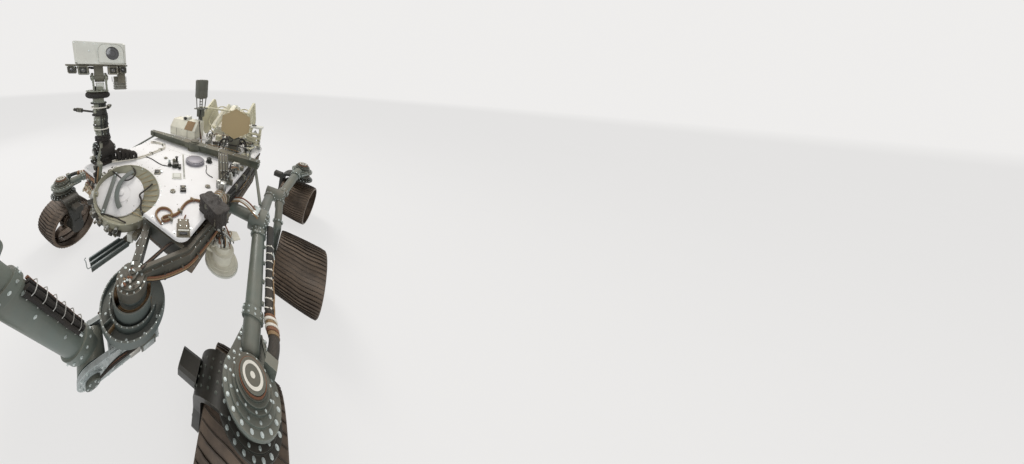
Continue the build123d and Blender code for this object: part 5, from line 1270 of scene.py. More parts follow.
def nose_clutter():
    """Small boxes, plugs and cans bolted to the nose, and the wires between them."""
    made, bits = Maker(), random.Random(23)
    before = None
    for i in range(30):
        y, z = nose_spot(bits)
        deep = bits.uniform(10, 42)
        paint = bits.choice((0, 0, 1, 2, 3, 4))
        kind = CLUTTER_KINDS[i % len(CLUTTER_KINDS)]
        if kind == "box":
            made.box((NOSE_X + deep / 2, y, z), (deep, bits.uniform(18, 54), bits.uniform(14, 44)), bevel=2,
                     paint=paint)
            made.bolt((NOSE_X + deep, y, z), AHEAD, 2.6)
        elif kind == "plug":
            made.drum((NOSE_X, y, z), 12, deep, axis=AHEAD, segments=24, bevel=1.5)
            made.drum((NOSE_X + deep, y, z), 9, 14, axis=AHEAD, segments=20, bevel=1, paint=paint)
            if before:
                start, end = before, Vector((NOSE_X + deep + 14, y, z))
                middle = (start + end) / 2
                made.wire([start, start + Vector((16, 0, -6)), middle + Vector((12, 0, -26)),
                           end + Vector((14, 0, -6)), end], 3.6, paint=bits.choice((4, 5, 6)))
            before = Vector((NOSE_X + deep + 14, y, z))
        else:
            made.drum((NOSE_X, y, z), 19, deep, axis=AHEAD, segments=32, bevel=2, paint=paint)
            made.drum((NOSE_X + deep, y, z), 11, 5, axis=AHEAD, segments=24, bevel=1, paint=3)
            made.bolt_ring((NOSE_X + deep, y, z), 15, 6, axis=AHEAD, size=1.8)
    for x, y, z, size in ((1048, 196, 852, (52, 44, 64)), (1036, 240, 884, (60, 40, 30)),
                          (1024, 262, 820, (70, 34, 40)), (1052, 300, 858, (30, 46, 24))):
        made.box((x, y, z), size, 18, bevel=2.5, paint=3 if x == 1048 else 1)
        for way in (-1, 1):
            made.bolt((x, y + way * size[1] * 0.3, z + size[2] / 2), size=2.6)
    for y in range(-560, 561, 80):
        made.bolt((NOSE_X, y, 1040), AHEAD, 3.4)
        made.bolt((NOSE_X, y, 862), AHEAD, 3.4)
    made.finish("nose_clutter", "chassis", "bare_metal", "bare metal", "box grey", "fork black",
                "chalky white", "harness black", "copper braid", "tan cable")


def nose_pipes():
    """The pale pipe, the brown band under the deck's front edge, and thin wires over the nose."""
    made = Maker()
    made.wire([(1012, -150, 1090), (1034, -170, 1084), (1046, -205, 1040), (1044, -240, 960),
               (1040, -262, 880), (1020, -268, 860), (988, -268, 858)], 10, sides=12)
    for x, y, z in ((1045, -216, 1010), (1042, -250, 930), (1036, -264, 874)):
        made.box((x, y, z), (26, 26, 8), bevel=1.5, paint=3)
    foot, bend, tip = Vector((1046, -240, 812)), Vector((1046, -222, 1117)), Vector((1040, -170, 1290))
    made.bar(foot, bend, 46, 30, bevel=5, up=AHEAD)
    made.bar(bend, tip, 44, 28, bevel=5, up=AHEAD)
    made.box(bend, (40, 58, 40), bevel=4, paint=3)
    for share in (0.1, 0.3, 0.5, 0.7, 0.9):
        for way in (-1, 1):
            made.bolt(foot.lerp(bend, share) + Vector((15, 14 * way, 0)), AHEAD, 3.4, paint=3)
            made.bolt(bend.lerp(tip, share) + Vector((14, 13 * way, 0)), AHEAD, 3.2, paint=3)
    for z, deep, paint in ((880, 40, 3), (960, 26, 4), (1040, 34, 3), (1180, 24, 4), (1240, 18, 3)):
        made.box((1056 + deep / 2, -236 + (z - 812) * 0.07, z), (deep, 30, 34), bevel=2, paint=paint)
    for slide, paint in ((-16, 4), (0, 4), (12, 2)):
        made.wire([(1064, -236 + slide, 830), (1070, -226 + slide, 940), (1066, -216 + slide, 1060),
                   (1070, -206 + slide, 1130), (1058, -176 + slide, 1262)], 5, paint=paint)
    for lift, paint in ((0, 1), (-12, 2), (-24, 1)):
        made.wire([(1016, -545, 1048 + lift), (1022, -480, 1040 + lift), (1020, -400, 1044 + lift),
                   (1022, -320, 1036 + lift), (1018, -250, 1030 + lift)], 6, paint=paint)
    for y in (-520, -430, -340, -270):
        made.box((1018, y, 1030), (20, 10, 46), bevel=1.5, paint=3)
    for y, drop, paint in ((-200, 30, 4), (-150, 44, 4), (-120, 26, 1)):
        made.wire([(1030, y - 60, 905), (1060, y - 40, 905 - drop), (1084, y, 900 - drop),
                   (1092, y + 30, 905), (1088, y + 50, 886)], 3.2, paint=paint)
    made.finish("nose_pipes", "chassis", "cable", "mast grey", "copper braid", "tan cable", "box grey",
                "harness black")


def tray_trim():
    """Bright slats, the bent wire at the tip and the screws of the forward tray."""
    made = Maker()
    for start, end in (((1072, 162), (1316, 133)), ((1080, 126), (1308, 100)), ((1088, 92), (1300, 70))):
        made.bar((*start, 776), (*end, 776), 4, 12, bevel=0.8)
    for start, end in (((1072, 174), (1318, 144)), ((1076, 140), (1312, 112)), ((1090, 104), (1304, 78))):
        made.bar((*start, 798), (*end, 798), 8, 2.5, bevel=0.6)
    made.wire([(1312, 146, 800), (1334, 148, 806), (1342, 138, 806), (1334, 110, 804), (1326, 84, 804),
               (1330, 66, 800), (1316, 60, 798)], 3)
    for x, y in ((1090, 165), (1150, 158), (1210, 150), (1270, 142), (1100, 90), (1200, 80), (1290, 74)):
        made.bolt((x, y, 772), size=2.8, paint=1)
    made.box((1034, 142, 782), (70, 58, 14), bevel=2, paint=2)
    for x in (1008, 1062):
        made.bolts(x, (120, 164), 789, size=3.4, paint=1)
    made.bolt_ring((1010, 142, 850), 26, 6, axis=AHEAD, size=3, paint=1)
    made.finish("tray_trim", "chassis", "bare_metal", "machined silver", "bolt metal", "box grey")


def camera_trim():
    """The glass, hoods and wires of the hazard cameras, and the calibration plate's discs and squares."""
    made = Maker()
    for y in (-195, -125, -40, 20):
        made.drum((1127, y, 836), 13, 2, axis=AHEAD, segments=28, bevel=0.6, paint=1)
        made.band(0, 3, 13.5, 17.5, "X", 28, (1126, y, 836), paint=2)
        made.drum((1077, y, 858), 9, 8, segments=20, bevel=1, paint=2)
        made.bolt((1062, y - 14, 858), size=2.2, paint=3)
        made.bolt((1092, y + 14, 858), size=2.2, paint=3)
        made.wire([(1047, y, 842), (1030, y + 8, 850), (1014, y + 4, 868), (988, y, 876)], 3.4, paint=4)
    made.box((1064, -84, 815), (120, 20, 6), bevel=1)
    for y in (-240, -160, -84, -6, 70):
        made.bolts((1010, 1096), y, 812, size=3, paint=3)
    made.finish("front_camera_trim", "chassis", "bare_metal", "ring grey", "lens glass", "chalky white",
                "bolt metal", "harness black")
    plate = Matrix(((0, -0.6712, 0.7413, 1047.3), (1, 0, 0, -430), (0, 0.7413, 0.6712, 925), (0, 0, 0, 1)))
    made = Maker(plate)
    samples = (
        # column, row, finish
        (-2, 1, 0), (-1, 1, 1), (0, 1, 2), (1, 1, 3), (2, 1, 0), (-2, -1, 4),
    )
    for column, row, paint in samples:
        made.drum((28 * column, 14.5 * row, 7), 9.3, 1.6, segments=32, bevel=0.4, paint=paint)
    for column, paint in ((-1, 5), (0, 6), (1, 1), (2, 1)):
        made.box((28 * column, -14.5, 7.9), (18.4, 18.4, 1.6), bevel=0.3, paint=paint)
    for x, y in ((0, 42), (66, -40), (-66, -40)):
        made.bolt((x, y, 6), size=3.4, paint=7)
        for way in (-1, 1):
            made.drum((x + way * 9, y - 5 if y > 0 else y + 4, 6), 1.4, 0.6, segments=10, paint=4)
    made.finish("calibration_samples", "chassis", "target", "box grey", "tan cable", "body brown",
                "harness slate", "fork black", "copper braid", "tie white", "bolt metal")


# The mast and its head

class ROVER_OT_mast(bpy.types.Operator):
    """Adds the mast's harness, ties, hinge bolts and the glass and screws of its cameras and head"""
    bl_idname = "rover.mast"
    bl_label = "Mast"

    def execute(self, context):
        mast_foot()
        mast_harness()
        yoke_trim()
        head_trim()
        return {"FINISHED"}


def mast_foot():
    """The deploy hinge's bolts, motor, curved pale bracket and the looped harness beside it."""
    made = Maker()
    for way, x in ((1, 872), (-1, 716)):
        made.bolt_ring((x + way * 12, MAST_Y, 1208), 50, 10, axis=(way, 0, 0), size=4)
        made.bolt_ring((MAST_X + way * 72, MAST_Y, 1208), 82, 16, axis=(way, 0, 0), size=4, first=11)
        made.drum((x + way * 12, MAST_Y, 1208), 36, 22, axis=(way, 0, 0), segments=36, bevel=3, paint=1)
        made.drum((x + way * 34, MAST_Y, 1208), 20, 8, axis=(way, 0, 0), segments=28, bevel=1.5, paint=2)
    for x in (-96, 96):
        for y in (-76, -26, 26, 76):
            made.bolt((MAST_X + x, MAST_Y + y, 1094.3), size=5)
    bent = [(884, -508, 1110), (888, -500, 1150), (880, -488, 1200), (858, -486, 1240), (846, -492, 1284),
            (842, -508, 1312)]
    for shift in (0, 7, 14):
        made.wire([(x + shift, y, z) for x, y, z in bent], 6, paint=3)
    made.box((846, -506, 1300), (30, 16, 44), 20, bevel=2, paint=3)
    for i in range(5):
        start, end = Vector((742 - 34 * i, -482 + 22 * i,
                             DECK_TOP + 8)), Vector((716 - 34 * i, -430 + 22 * i, DECK_TOP + 8))
        lift = 116 - 14 * abs(i - 1)
        for slide, radius in ((0, 12), (18, 9)):
            step = Vector((-slide * 0.8, slide * 0.5, 0))
            made.wire([start + step, start + step + Vector((8, -12, lift * 0.6)),
                       start.lerp(end, 0.4) + step + Vector((0, 0, lift * 1.25)),
                       end + step + Vector((-8, 14, lift * 0.62)), end + step], radius, sides=12, paint=4)
    for i in range(3):
        made.bar((736 - 52 * i, -500 + 34 * i, DECK_TOP + 4), (700 - 52 * i, -416 + 34 * i, DECK_TOP + 4),
                 14, 8, bevel=1.5, paint=2)
    made.box((860, -640, 1112), (60, 46, 36), 12, bevel=3, paint=3)
    made.drum((884, -650, 1112), 14, 26, axis=(0.7, -0.7, 0.1), segments=24, bevel=2, paint=5)
    made.finish("mast_foot_trim", "chassis", "dark_metal", "bolt metal", "fork black", "bare metal",
                "mast grey", "harness black", "chalky white")


def mast_harness():
    """The black strands up the mast's side with their ties, and its collars' bolts and small boxes."""
    made, bits = Maker(), random.Random(3)
    centre = Vector((MAST_X, MAST_Y, 0))
    for i in range(6):
        angle = radians(66 + 24 * i)
        line = []
        for z in range(1316, 1730, 46):
            lean = angle + bits.uniform(-0.07, 0.07)
            reach = 57 + (12 if 1362 < z < 1412 or 1510 < z < 1560 else 0) + bits.uniform(-1, 3)
            line.append((centre.x + reach * cos(lean), centre.y + reach * sin(lean), z))
        made.wire(line, bits.uniform(6, 9), paint=bits.choice((0, 0, 1)))
    for z in (1340, 1440, 1475, 1575, 1650, 1690):
        made.band(z - 5, z + 5, 64, 72, "Z", 32, (MAST_X, MAST_Y, 0), paint=2 if z in (1440, 1650) else 0)
    for z in (1387, 1535):
        round_bolts(made, Vector((MAST_X, MAST_Y, z)), Vector((0, 0, 1)), 59, 12, 3.6, paint=3)
        made.bolt_ring((MAST_X, MAST_Y, z + 13), 53, 14, size=2.6, paint=3)
    made.bolt_ring((MAST_X, MAST_Y, 1701), 57, 14, size=2.8, paint=3)
    for turn, z, size in ((-10, 1440, (26, 34, 60)), (20, 1620, (22, 30, 44)), (-30, 1500, (20, 24, 30)),
                          (36, 1350, (30, 30, 34))):
        spot = turned((MAST_X, MAST_Y, 0), turn)
        made.box(spot @ Vector((54, 0, z)), size, turn, bevel=3, paint=4)
        made.bolt(spot @ Vector((54 + size[0] / 2, 0, z)), spot.to_3x3() @ Vector((1, 0, 0)), 3, paint=3)
    for i in range(3):
        made.band(1322 + 18 * i, 1336 + 18 * i, 62, 80 - 3 * i, "Z", 32, (MAST_X, MAST_Y, 0), sweep=210)
    for turn in (215, 310):
        out = Vector((cos(radians(turn)), sin(radians(turn)), 0.12)).normalized()
        root = Vector((MAST_X, MAST_Y, 1600)) + 55 * Vector((cos(radians(turn)), sin(radians(turn)), 0))
        for reach in (118, 132, 146):
            made.drum(root + out * reach, 22.5, 5, axis=out, segments=24, bevel=0.8, paint=4)
        made.drum(root + out * 192, 12, 8, axis=out, segments=24, bevel=3, paint=5)
    made.finish("mast_harness", "chassis", "cable", "harness black", "harness slate", "tie white",
                "bolt metal", "mast grey", "chalky white")


def yoke_trim():
    """The wound cable round the yoke's foot, its cheeks' bolts and small brackets."""
    made = Maker(turned((MAST_X, MAST_Y, 0), HEAD_TURN))
    made.spun([(1768 + 27.5 * sin(a), 80 + 27.5 * cos(a)) for a in [2 * pi * i / 14 for i in range(14)]],
              axis="Z", steps=64)
    for turn in range(0, 360, 12):
        lean = about("Z", turn)
        ring = [lean @ Vector((80 + 28.5 * cos(a), 0, 1768 + 28.5 * sin(a)))
                for a in [2 * pi * i / 8 for i in range(8)]]
        made.wire(ring, 3, closed=True)
    made.bolt_ring((0, 0, 1809), 90, 16, size=3, paint=1)
    made.box((0, TILT_SIDE, 1843), (58, 72, 70), bevel=4, paint=3)
    made.prism([(-39, 0), (39, 0), (30, 66), (-30, 66)], 5,
               Matrix(((0, 0, 1, 31), (1, 0, 0, TILT_SIDE), (0, 1, 0, 1811), (0, 0, 0, 1))), bevel=1.5,
               paint=4)
    for z in (1822, 1862):
        for y in (-20, 20):
            made.bolt((36, TILT_SIDE + y, z), AHEAD, 3, paint=1)
    for way in (-1, 1):
        y = TILT_SIDE + way * 72
        made.bolt_ring((0, y - way * 8, 1925), 36, 8, axis=(0, way, 0), size=3, paint=1)
        made.drum((0, y, 1925), 18, 6, axis=(0, way, 0), segments=28, bevel=1.5, paint=2)
        for z in (1830, 1856, 1882):
            made.bolts((-26, 26), TILT_SIDE + way * 64, z, (0, way, 0), 3, paint=1)
    for x, y, turn in ((50.4, 20, 4), (-45, -6, 40)):
        made.box((x, y, 1827), (26, 56, 34), turn, bevel=3, paint=3)
    made.wire([(-70, 40, 1800), (-92, 60, 1790), (-96, 20, 1768), (-90, -30, 1752)], 8)
    made.finish("yoke_trim", "mast_pan", "grey_paint", "harness black", "bolt metal", "bare metal",
                "mast grey", "chalky white")


def head_trim():
    """The head's screws, seams and window ring, and the glass and hoods of the cameras on its bar."""
    made = Maker(turned((MAST_X, MAST_Y, 0), HEAD_TURN))
    made.spun([(0, 52), (0, 62), (4, 62), (6, 58), (4, 52)], "X", 56, (198, WINDOW_Y, WINDOW_Z))
    for i in range(12):
        a = radians(30 * i + 15)
        made.bolt((200, WINDOW_Y + 69 * cos(a), WINDOW_Z + 69 * sin(a)), AHEAD, 2, paint=1)
    for y in (60, 228):
        made.bolts(200, y, (2052, 2090), AHEAD, 2.4, paint=1)
    for y in (-128, -60, 8):
        made.bolts(190, y, (2050, 2192), AHEAD, 2.4, paint=1)
    made.drum((190, -30, 2135), 5, 4, axis=AHEAD, segments=20, bevel=1, paint=1)
    made.box((20, HEAD_SIDE, 2042), (336, 396, 7), bevel=2, paint=2)
    made.bar((190.5, 32, 2046), (190.5, 32, 2196), 2, 1.4, paint=1, up=LEFTWARD)
    for x in (-110, -30, 50, 130):
        made.bolts(x, (-128, HEAD_SIDE, 242), 2205.5, size=2.8, paint=1)
    made.drum((188.5, WINDOW_Y, WINDOW_Z), 47, 1.5, axis=AHEAD, segments=56, bevel=0.5, paint=4)
    made.band(0, 2, 24, 27, "X", 48, (190, WINDOW_Y, WINDOW_Z), paint=5)
    cameras = ((-212, "round"), (-122, "square"), (122, "square"), (212, "round"))
    for y, kind in cameras:
        y += TILT_SIDE
        if kind == "round":
            made.drum((76, y, CAMERA_Z), 19, 2, axis=AHEAD, segments=32, bevel=0.5, paint=5)
            made.drum((78, y, CAMERA_Z), 12, 2, axis=AHEAD, segments=32, bevel=0.5, paint=4)
            made.band(0, 3, 20, 27, "X", 32, (86, y, CAMERA_Z), paint=5)
            made.box((26, y, 1964), (84, 50, 6), bevel=1.5, paint=5)
            for way in (-1, 1):
                made.bolt((72, y + way * 25, 2018), AHEAD, 2, paint=1)
        else:
            made.box((90, y, CAMERA_Z - 6), (3, 54, 46), bevel=0.8, paint=5)
            made.band(0, 4, 11, 15, "X", 32, (91, y, CAMERA_Z - 6), paint=2)
            made.drum((91, y, CAMERA_Z - 6), 11, 2, axis=AHEAD, segments=32, bevel=0.5, paint=4)
            for z in (1960, 2016):
                for way in (-1, 1):
                    made.bolt((101, y + way * 35, z), AHEAD, 2, paint=1)
    edge = [(35, 2046), (235, 2046), (235, 2100)]
    edge += [(175 + 60 * cos(radians(a)), 2132 + 60 * sin(radians(a))) for a in range(0, 91, 15)]
    edge += [(95 + 60 * cos(radians(a)), 2132 + 60 * sin(radians(a))) for a in range(90, 181, 15)]
    edge += [(35, 2100), (35, 2050)]
    for (ya, za), (yb, zb) in zip(edge, edge[1:]):
        made.bar((200.4, ya, za), (200.4, yb, zb), 1.6, 2.4, paint=2, up=(1, 0, 0.001))
    for i in range(5):
        made.box((-51, 220, 1812 + 16 * i), (3, 130, 3), bevel=0.4, paint=3)
    for y in (150, 178, 206, 234, 262, 290):
        made.bar((-122, y, 1880), (-122, y, 1930), 4, 5, bevel=0.6, paint=5, up=LEFTWARD)
    for slide in (0, 14, 26):
        made.wire([(-30, -60 + slide, 2018), (-62, -44 + slide, 2006), (-64, -10 + slide, 2004),
                   (-38, 12 + slide, 2020)], 5, paint=6)
        made.wire([(-40, -190 + slide * 3, 2018), (-60, -140 + slide * 2, 2004), (-62, -80 + slide, 2008),
                   (-36, -40 + slide, 2018)], 5, paint=6)
    made.finish("head_trim", "mast_tilt", "white_paint", "chalky white", "bolt metal", "box grey",
                "bare metal", "lens glass", "fork black", "harness black")


# The left side and its blanket

def side_plane(side):
    """A plane on the body's side: its X runs rearwards on the left and forwards on the right, its Y is up."""
    return Matrix(((-side, 0, 0, 0), (0, 0, side, side * BODY_SIDE), (0, 1, 0, 0), (0, 0, 0, 1)))


class ROVER_OT_side(bpy.types.Operator):
    """Adds the canister's plumbing, the fittings along the body's sides and the crumpled blanket"""
    bl_idname = "rover.side"
    bl_label = "Side and blanket"

    def execute(self, context):
        canister_plumbing()
        side_fittings()
        blanket()
        return {"FINISHED"}


def canister_plumbing():
    """Tubes and wires over the canister on the left side, its flange bolts and its small white blocks."""
    made, bits = Maker(), random.Random(11)
    centre = Vector((CANISTER_X, CANISTER_Y, 0))
    for radius, z, count in ((99, 714, 18), (69, 812, 10), (46, 866, 8)):
        made.bolt_ring(centre + Vector((0, 0, z)), radius - 10, count, size=3)
    made.band(700, 712, 105, 110, "Z", 64, centre, paint=3)
    for i in range(13):
        turn = radians(200 + 24 * i)
        start = centre + Vector((44 * cos(turn), 44 * sin(turn), 878))
        end = Vector((bits.uniform(560, 740), 594, bits.uniform(800, 1000)))
        top = start.lerp(end, 0.4) + Vector((bits.uniform(-30, 30), bits.uniform(0, 34),
                                             bits.uniform(36, 76)))
        made.wire([start, start + Vector((0, 0, 44)), top, end + Vector((0, 40, 20)), end],
                  bits.uniform(4, 8), paint=bits.choice((0, 3, 4, 5, 6, 3)))
    for x, y, z, size in ((673, 610, 900, (36, 24, 44)), (700, 690, 886, (56, 44, 16)),
                          (650, 700, 890, (30, 36, 26)), (724, 720, 890, (28, 30, 22))):
        made.box((x, y, z), size, 20, bevel=3, paint=3)
        made.bolt((x, y, z + size[2] / 2), size=2.6)
    top = Matrix.Translation((0, 0, 878))
    fittings(made, bits, top, scattered(bits, (640, 652), (742, 742), 14, ((CANISTER_X, CANISTER_Y, 34),)),
             (10, 34), 34)
    for i in range(24):
        turn, reach = radians(15 * i + bits.uniform(-9, 9)), bits.uniform(30, 76)
        start = Vector((690 + reach * cos(turn), 706 + reach * sin(turn), 880))
        end = Vector((bits.uniform(640, 746), bits.uniform(640, 750), 880))
        over = (start + end) / 2 + Vector((bits.uniform(-26, 26), bits.uniform(-20, 26),
                                           bits.uniform(28, 66)))
        made.wire([start, start + Vector((0, 0, 24)), over, end + Vector((0, 0, 24)), end],
                  bits.uniform(2.6, 4.6), paint=bits.choice((3, 3, 5, 6, 0, 4)))
    made.drum((688, 716, 886), 22, 30, segments=28, bevel=3)
    made.bolt_ring((688, 716, 916), 15, 6, size=2.2)
    made.finish("canister_plumbing", "chassis", "bare_metal", *CLUTTER_PAINTS)


def side_fittings():
    """Bolt rows and pocket screws on the body's sides, small fittings and the harness on the left edge."""
    made, bits = Maker(), random.Random(29)
    for side in (-1, 1):
        plane = side_plane(side)
        out = (0, side, 0)
        for x in range(-560, 900, 70):
            for z in (1036, 700):
                if z == 1036 or -470 < x < 860:
                    made.bolt((x, side * BODY_SIDE, z), out, 3.4)
        for x, long in ((-430, 230), (-130, 300), (545, 160)):
            for z in (732, 998):
                for share in (-0.5, -0.17, 0.17, 0.5):
                    made.bolt((x + long * share, side * BODY_SIDE, z), out, 3)
        low, high = ((-880, 930), (120, 1024)) if side > 0 else ((-560, 930), (860, 1024))
        fittings(made, bits, plane, scattered(bits, low, high, 20), (8, 22), 40)
        for lift in (0, 11, 22):
            made.wire([(-600, side * 602, 1012 - lift), (-300, side * 606, 1004 - lift),
                       (0, side * 600, 1014 - lift), (300, side * 607, 1002 - lift),
                       (600, side * 602, 1010 - lift), (840, side * 604, 1004 - lift)], 5,
                       paint=4 if lift != 11 else 6)
        for x in range(-520, 840, 136):
            made.box((x, side * 602, 996), (12, 20, 44), bevel=1.5, paint=1)
    for i in range(8):
        slide = 9 * i
        made.wire([(560 - slide, 560, DECK_TOP + 6), (566 - slide, 600, DECK_TOP + 44),
                   (580 - slide, 656, DECK_TOP + 10), (592 - slide, 650, 1006), (596 - slide, 597, 968)],
                   4.4, paint=6 if i % 3 else 0)
    made.box((542, 622, DECK_TOP + 30), (90, 16, 10), 8, bevel=2, paint=1)
    deck = Matrix.Translation((0, 0, DECK_TOP))
    fittings(made, bits, deck, scattered(bits, (60, 520), (490, 600), 26), (24, 84), 66)
    for i, (reach, drop) in enumerate(((620, 1036), (634, 1006), (618, 968), (640, 930))):
        made.wire([(-420, 596, drop - 40), (-360, reach, drop - 20), (-120, reach + 8 * sin(i), drop),
                   (130, reach - 4, drop - 16), (350, reach, drop + 8), (520, 598, drop - 10)],
                   (17, 13, 19, 11)[i], sides=12, paint=4 if i % 2 == 0 else 2)
    for x in (-300, -110, 80, 270, 440):
        made.box((x, 616, 984), (22, 54, 130), bevel=4, paint=1)
        made.bolts(x, 643, (930, 1036), LEFTWARD, 4)
    for x, z, size in ((-210, 1010, (110, 50, 80)), (0, 950, (80, 56, 90)), (180, 1000, (120, 46, 70)),
                       (360, 950, (90, 50, 84))):
        made.box((x, 616, z), size, bevel=4, paint=2)
        made.bolt((x - size[0] * 0.35, 591 + size[1], z), LEFTWARD, 3.4)
        made.bolt((x + size[0] * 0.35, 591 + size[1], z), LEFTWARD, 3.4)
    made.finish("side_fittings", "chassis", "bare_metal", *CLUTTER_PAINTS)


BLANKET_CORNERS = ((752, 542), (640, 580), (722, 768), (838, 728))
BLANKET_LOW, BLANKET_HIGH = 1077.5, 1196


def blanket():
    """A dark crumpled thermal cover over a small box, its left side pleated and its lower edge loose."""
    corners = [Vector((x, y, 0)) for x, y in BLANKET_CORNERS]
    middle = sum(corners, Vector()) / 4
    around = []
    for i, corner in enumerate(corners):
        along_edge = corners[(i + 1) % 4] - corner
        for k in range(40):
            around.append((corner + along_edge * (k / 40), i, k / 40))
    bm = bmesh.new()
    rows, rings = 34, 14
    grid = []
    for row in range(rows + 1):
        line = []
        for spot, edge, share in around:
            out = (spot - middle).normalized()
            inward = 1.0 - 0.10 * (1 - min(1.0, 4 * min(share, 1 - share)))
            if row <= rings:
                t = row / rings
                flat = middle + (spot - middle) * t * inward
                z = BLANKET_HIGH - 7 * t ** 6
            else:
                t = (row - rings) / (rows - rings)
                flat = middle + (spot - middle) * inward
                z = BLANKET_HIGH - 7 - (BLANKET_HIGH - 7 - BLANKET_LOW) * t
            place = Vector((flat.x, flat.y, z))
            crease = noise.noise(place * 0.021) * 7 + noise.noise(place * 0.06) * 4.5
            crease += abs(noise.noise(place * 0.11)) * 3
            side_share = min(1.0, max(0.0, (row - rings + 3) / 6))
            pleat = 3.4 * sin(share * 2 * pi * 9) * side_share if edge == 1 else 0
            flare = 5 * side_share * sin(share * 2 * pi * 3 + edge) * ((row - rings) / (rows - rings)) ** 2
            shove = out * ((crease - 9) * side_share + pleat + flare * side_share)
            drop = Vector((0, 0, crease - 9)) * (1 - side_share)
            line.append(bm.verts.new(place + shove + drop))
        grid.append(line)
    for row in range(rows):
        for k in range(len(around)):
            n = (k + 1) % len(around)
            bm.faces.new((grid[row][k], grid[row + 1][k], grid[row + 1][n], grid[row][n]))
    bmesh.ops.remove_doubles(bm, verts=bm.verts, dist=0.05)
    bmesh.ops.recalc_face_normals(bm, faces=bm.faces)
    if sum((f.normal.z for f in bm.faces if f.calc_center_median().z > BLANKET_HIGH - 12)) < 0:
        bmesh.ops.reverse_faces(bm, faces=bm.faces)
    bmesh.ops.transform(bm, matrix=PACKED, verts=bm.verts)
    mesh = bpy.data.meshes.new("crumpled_blanket")
    bm.to_mesh(mesh)
    bm.free()
    cover = settle(mesh, "crumpled_blanket", "chassis", ["blanket dark"], 180)
    thick = cover.modifiers.new("thickness", "SOLIDIFY")
    thick.thickness, thick.offset, thick.use_even_offset = 0.0012, -1, False
    made = Maker()
    middle_turn = 64
    made.box((738, 654.5, 1132), (168, 96, 96), middle_turn, bevel=6, paint=1)
    for x, y in ((700, 600), (776, 700)):
        made.box((x, y, 1080), (30, 30, 8), middle_turn, bevel=2, paint=2)
        made.bolt((x, y, 1084), size=4)
    made.finish("covered_box", "chassis", "grey_paint", "bolt metal", "box grey", "bracket grey")
    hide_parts("blanket_box")


# The rear

class ROVER_OT_rear(bpy.types.Operator):
    """Adds the hoses, plates and fasteners of the rear deck, the dish, the relay and the generator"""
    bl_idname = "rover.rear"
    bl_label = "Rear"

    def execute(self, context):
        rear_deck()
        rear_antennas()
        generator_trim()
        return {"FINISHED"}


def rear_deck():
    """The fittings and hoses behind the long bar, the plates at the left rear and the patched white box."""
    made, bits = Maker(), random.Random(41)
    deck = Matrix.Translation((0, 0, DECK_TOP))
    fittings(made, bits, deck, scattered(bits, (-610, -150), (-110, 590), 44, ((DISH_X, DISH_Y, 105),)),
             (16, 74), 64)
    for i in range(7):
        turn = radians(40 + 50 * i)
        foot = Vector((-330 + 190 * cos(turn), 360 + 150 * sin(turn), DECK_TOP + 6))
        foot.y = min(foot.y, 585)
        wrap = Vector((-330 + 72 * cos(turn + 0.5), 360 + 72 * sin(turn + 0.5), 1130 + 12 * i))
        made.wire([foot, foot + Vector((0, 0, 70)), foot.lerp(wrap, 0.5) + Vector((0, 0, 90)), wrap,
                   wrap + Vector((-20, 0, 40))], 8 + i % 3 * 2, sides=12, paint=4 if i % 3 else 2)
    for x, y, z, size, turn in ((-258, 526, 1088, (96, 72, 16), 6), (-420, 520, 1120, (120, 60, 12), -10),
                                (-500, 300, 1110, (90, 110, 10), 20), (-560, 480, 1150, (40, 130, 90), 8),
                                (-470, 110, 1130, (70, 60, 70), 0)):
        made.box((x, y, z), size, turn, bevel=3, paint=7)
        for way in (-1, 1):
            made.bolt((x + way * size[0] * 0.35, y, z + size[2] / 2), size=4)
        made.bar((x, y, DECK_TOP), (x, y, z), 16, 16, up=AHEAD)
    for y in range(120, 560, 62):
        made.rod((-600, y, DECK_TOP), (-600, y, 1190), 6)
    made.bar((-600, 100, 1190), (-600, 570, 1190), 18, 14, bevel=2, paint=7)
    for x, y, z in ((-560, 470, 1330), (-560, 575, 1330), (-610, 575, 1330), (-610, 470, 1330)):
        made.rod((x, y, DECK_TOP), (x, y, z), 9, paint=7)
        made.bar((x, y, 1180), (-585, 522, 1290), 10, 10, bevel=1)
    made.box((-586, 522, 1336), (84, 150, 22), bevel=3, paint=3)
    made.drum((-586, 500, 1347), 26, 10, segments=32, bevel=2, paint=2)
    made.bolt_ring((-586, 500, 1357), 19, 8, size=2.6)
    for z, reach in ((1130, 30), (1165, 42), (1210, 22), (1260, 34)):
        made.rod((-540, 440, z), (-540, 590, z), 14, segments=20, bevel=2, paint=7)
        made.drum((-540, 588, z), 20, 10, axis=LEFTWARD, segments=24, bevel=2)
        made.wire([(-540, 450, z), (-508, 425, z + reach), (-478, 410, z), (-470, 380, z - reach)], 9,
                  sides=12, paint=7 if z != 1165 else 0)
    slope = Matrix.Translation((-279, 56, DECK_TOP)) @ about("Z", -14) @ about("X", 68)
    made.prism([(-70, 0), (80, 0), (16, 132)], 7, slope, bevel=2, paint=3)
    slope = Matrix.Translation((-430, 190, DECK_TOP)) @ about("Z", 24) @ about("X", 74)
    made.prism([(-96, 0), (96, 0), (70, 112), (-60, 98)], 8, slope, bevel=2, paint=3)
    box_front(made)
    made.finish("rear_deck_fittings", "chassis", "bare_metal", *CLUTTER_PAINTS, "fin cream")


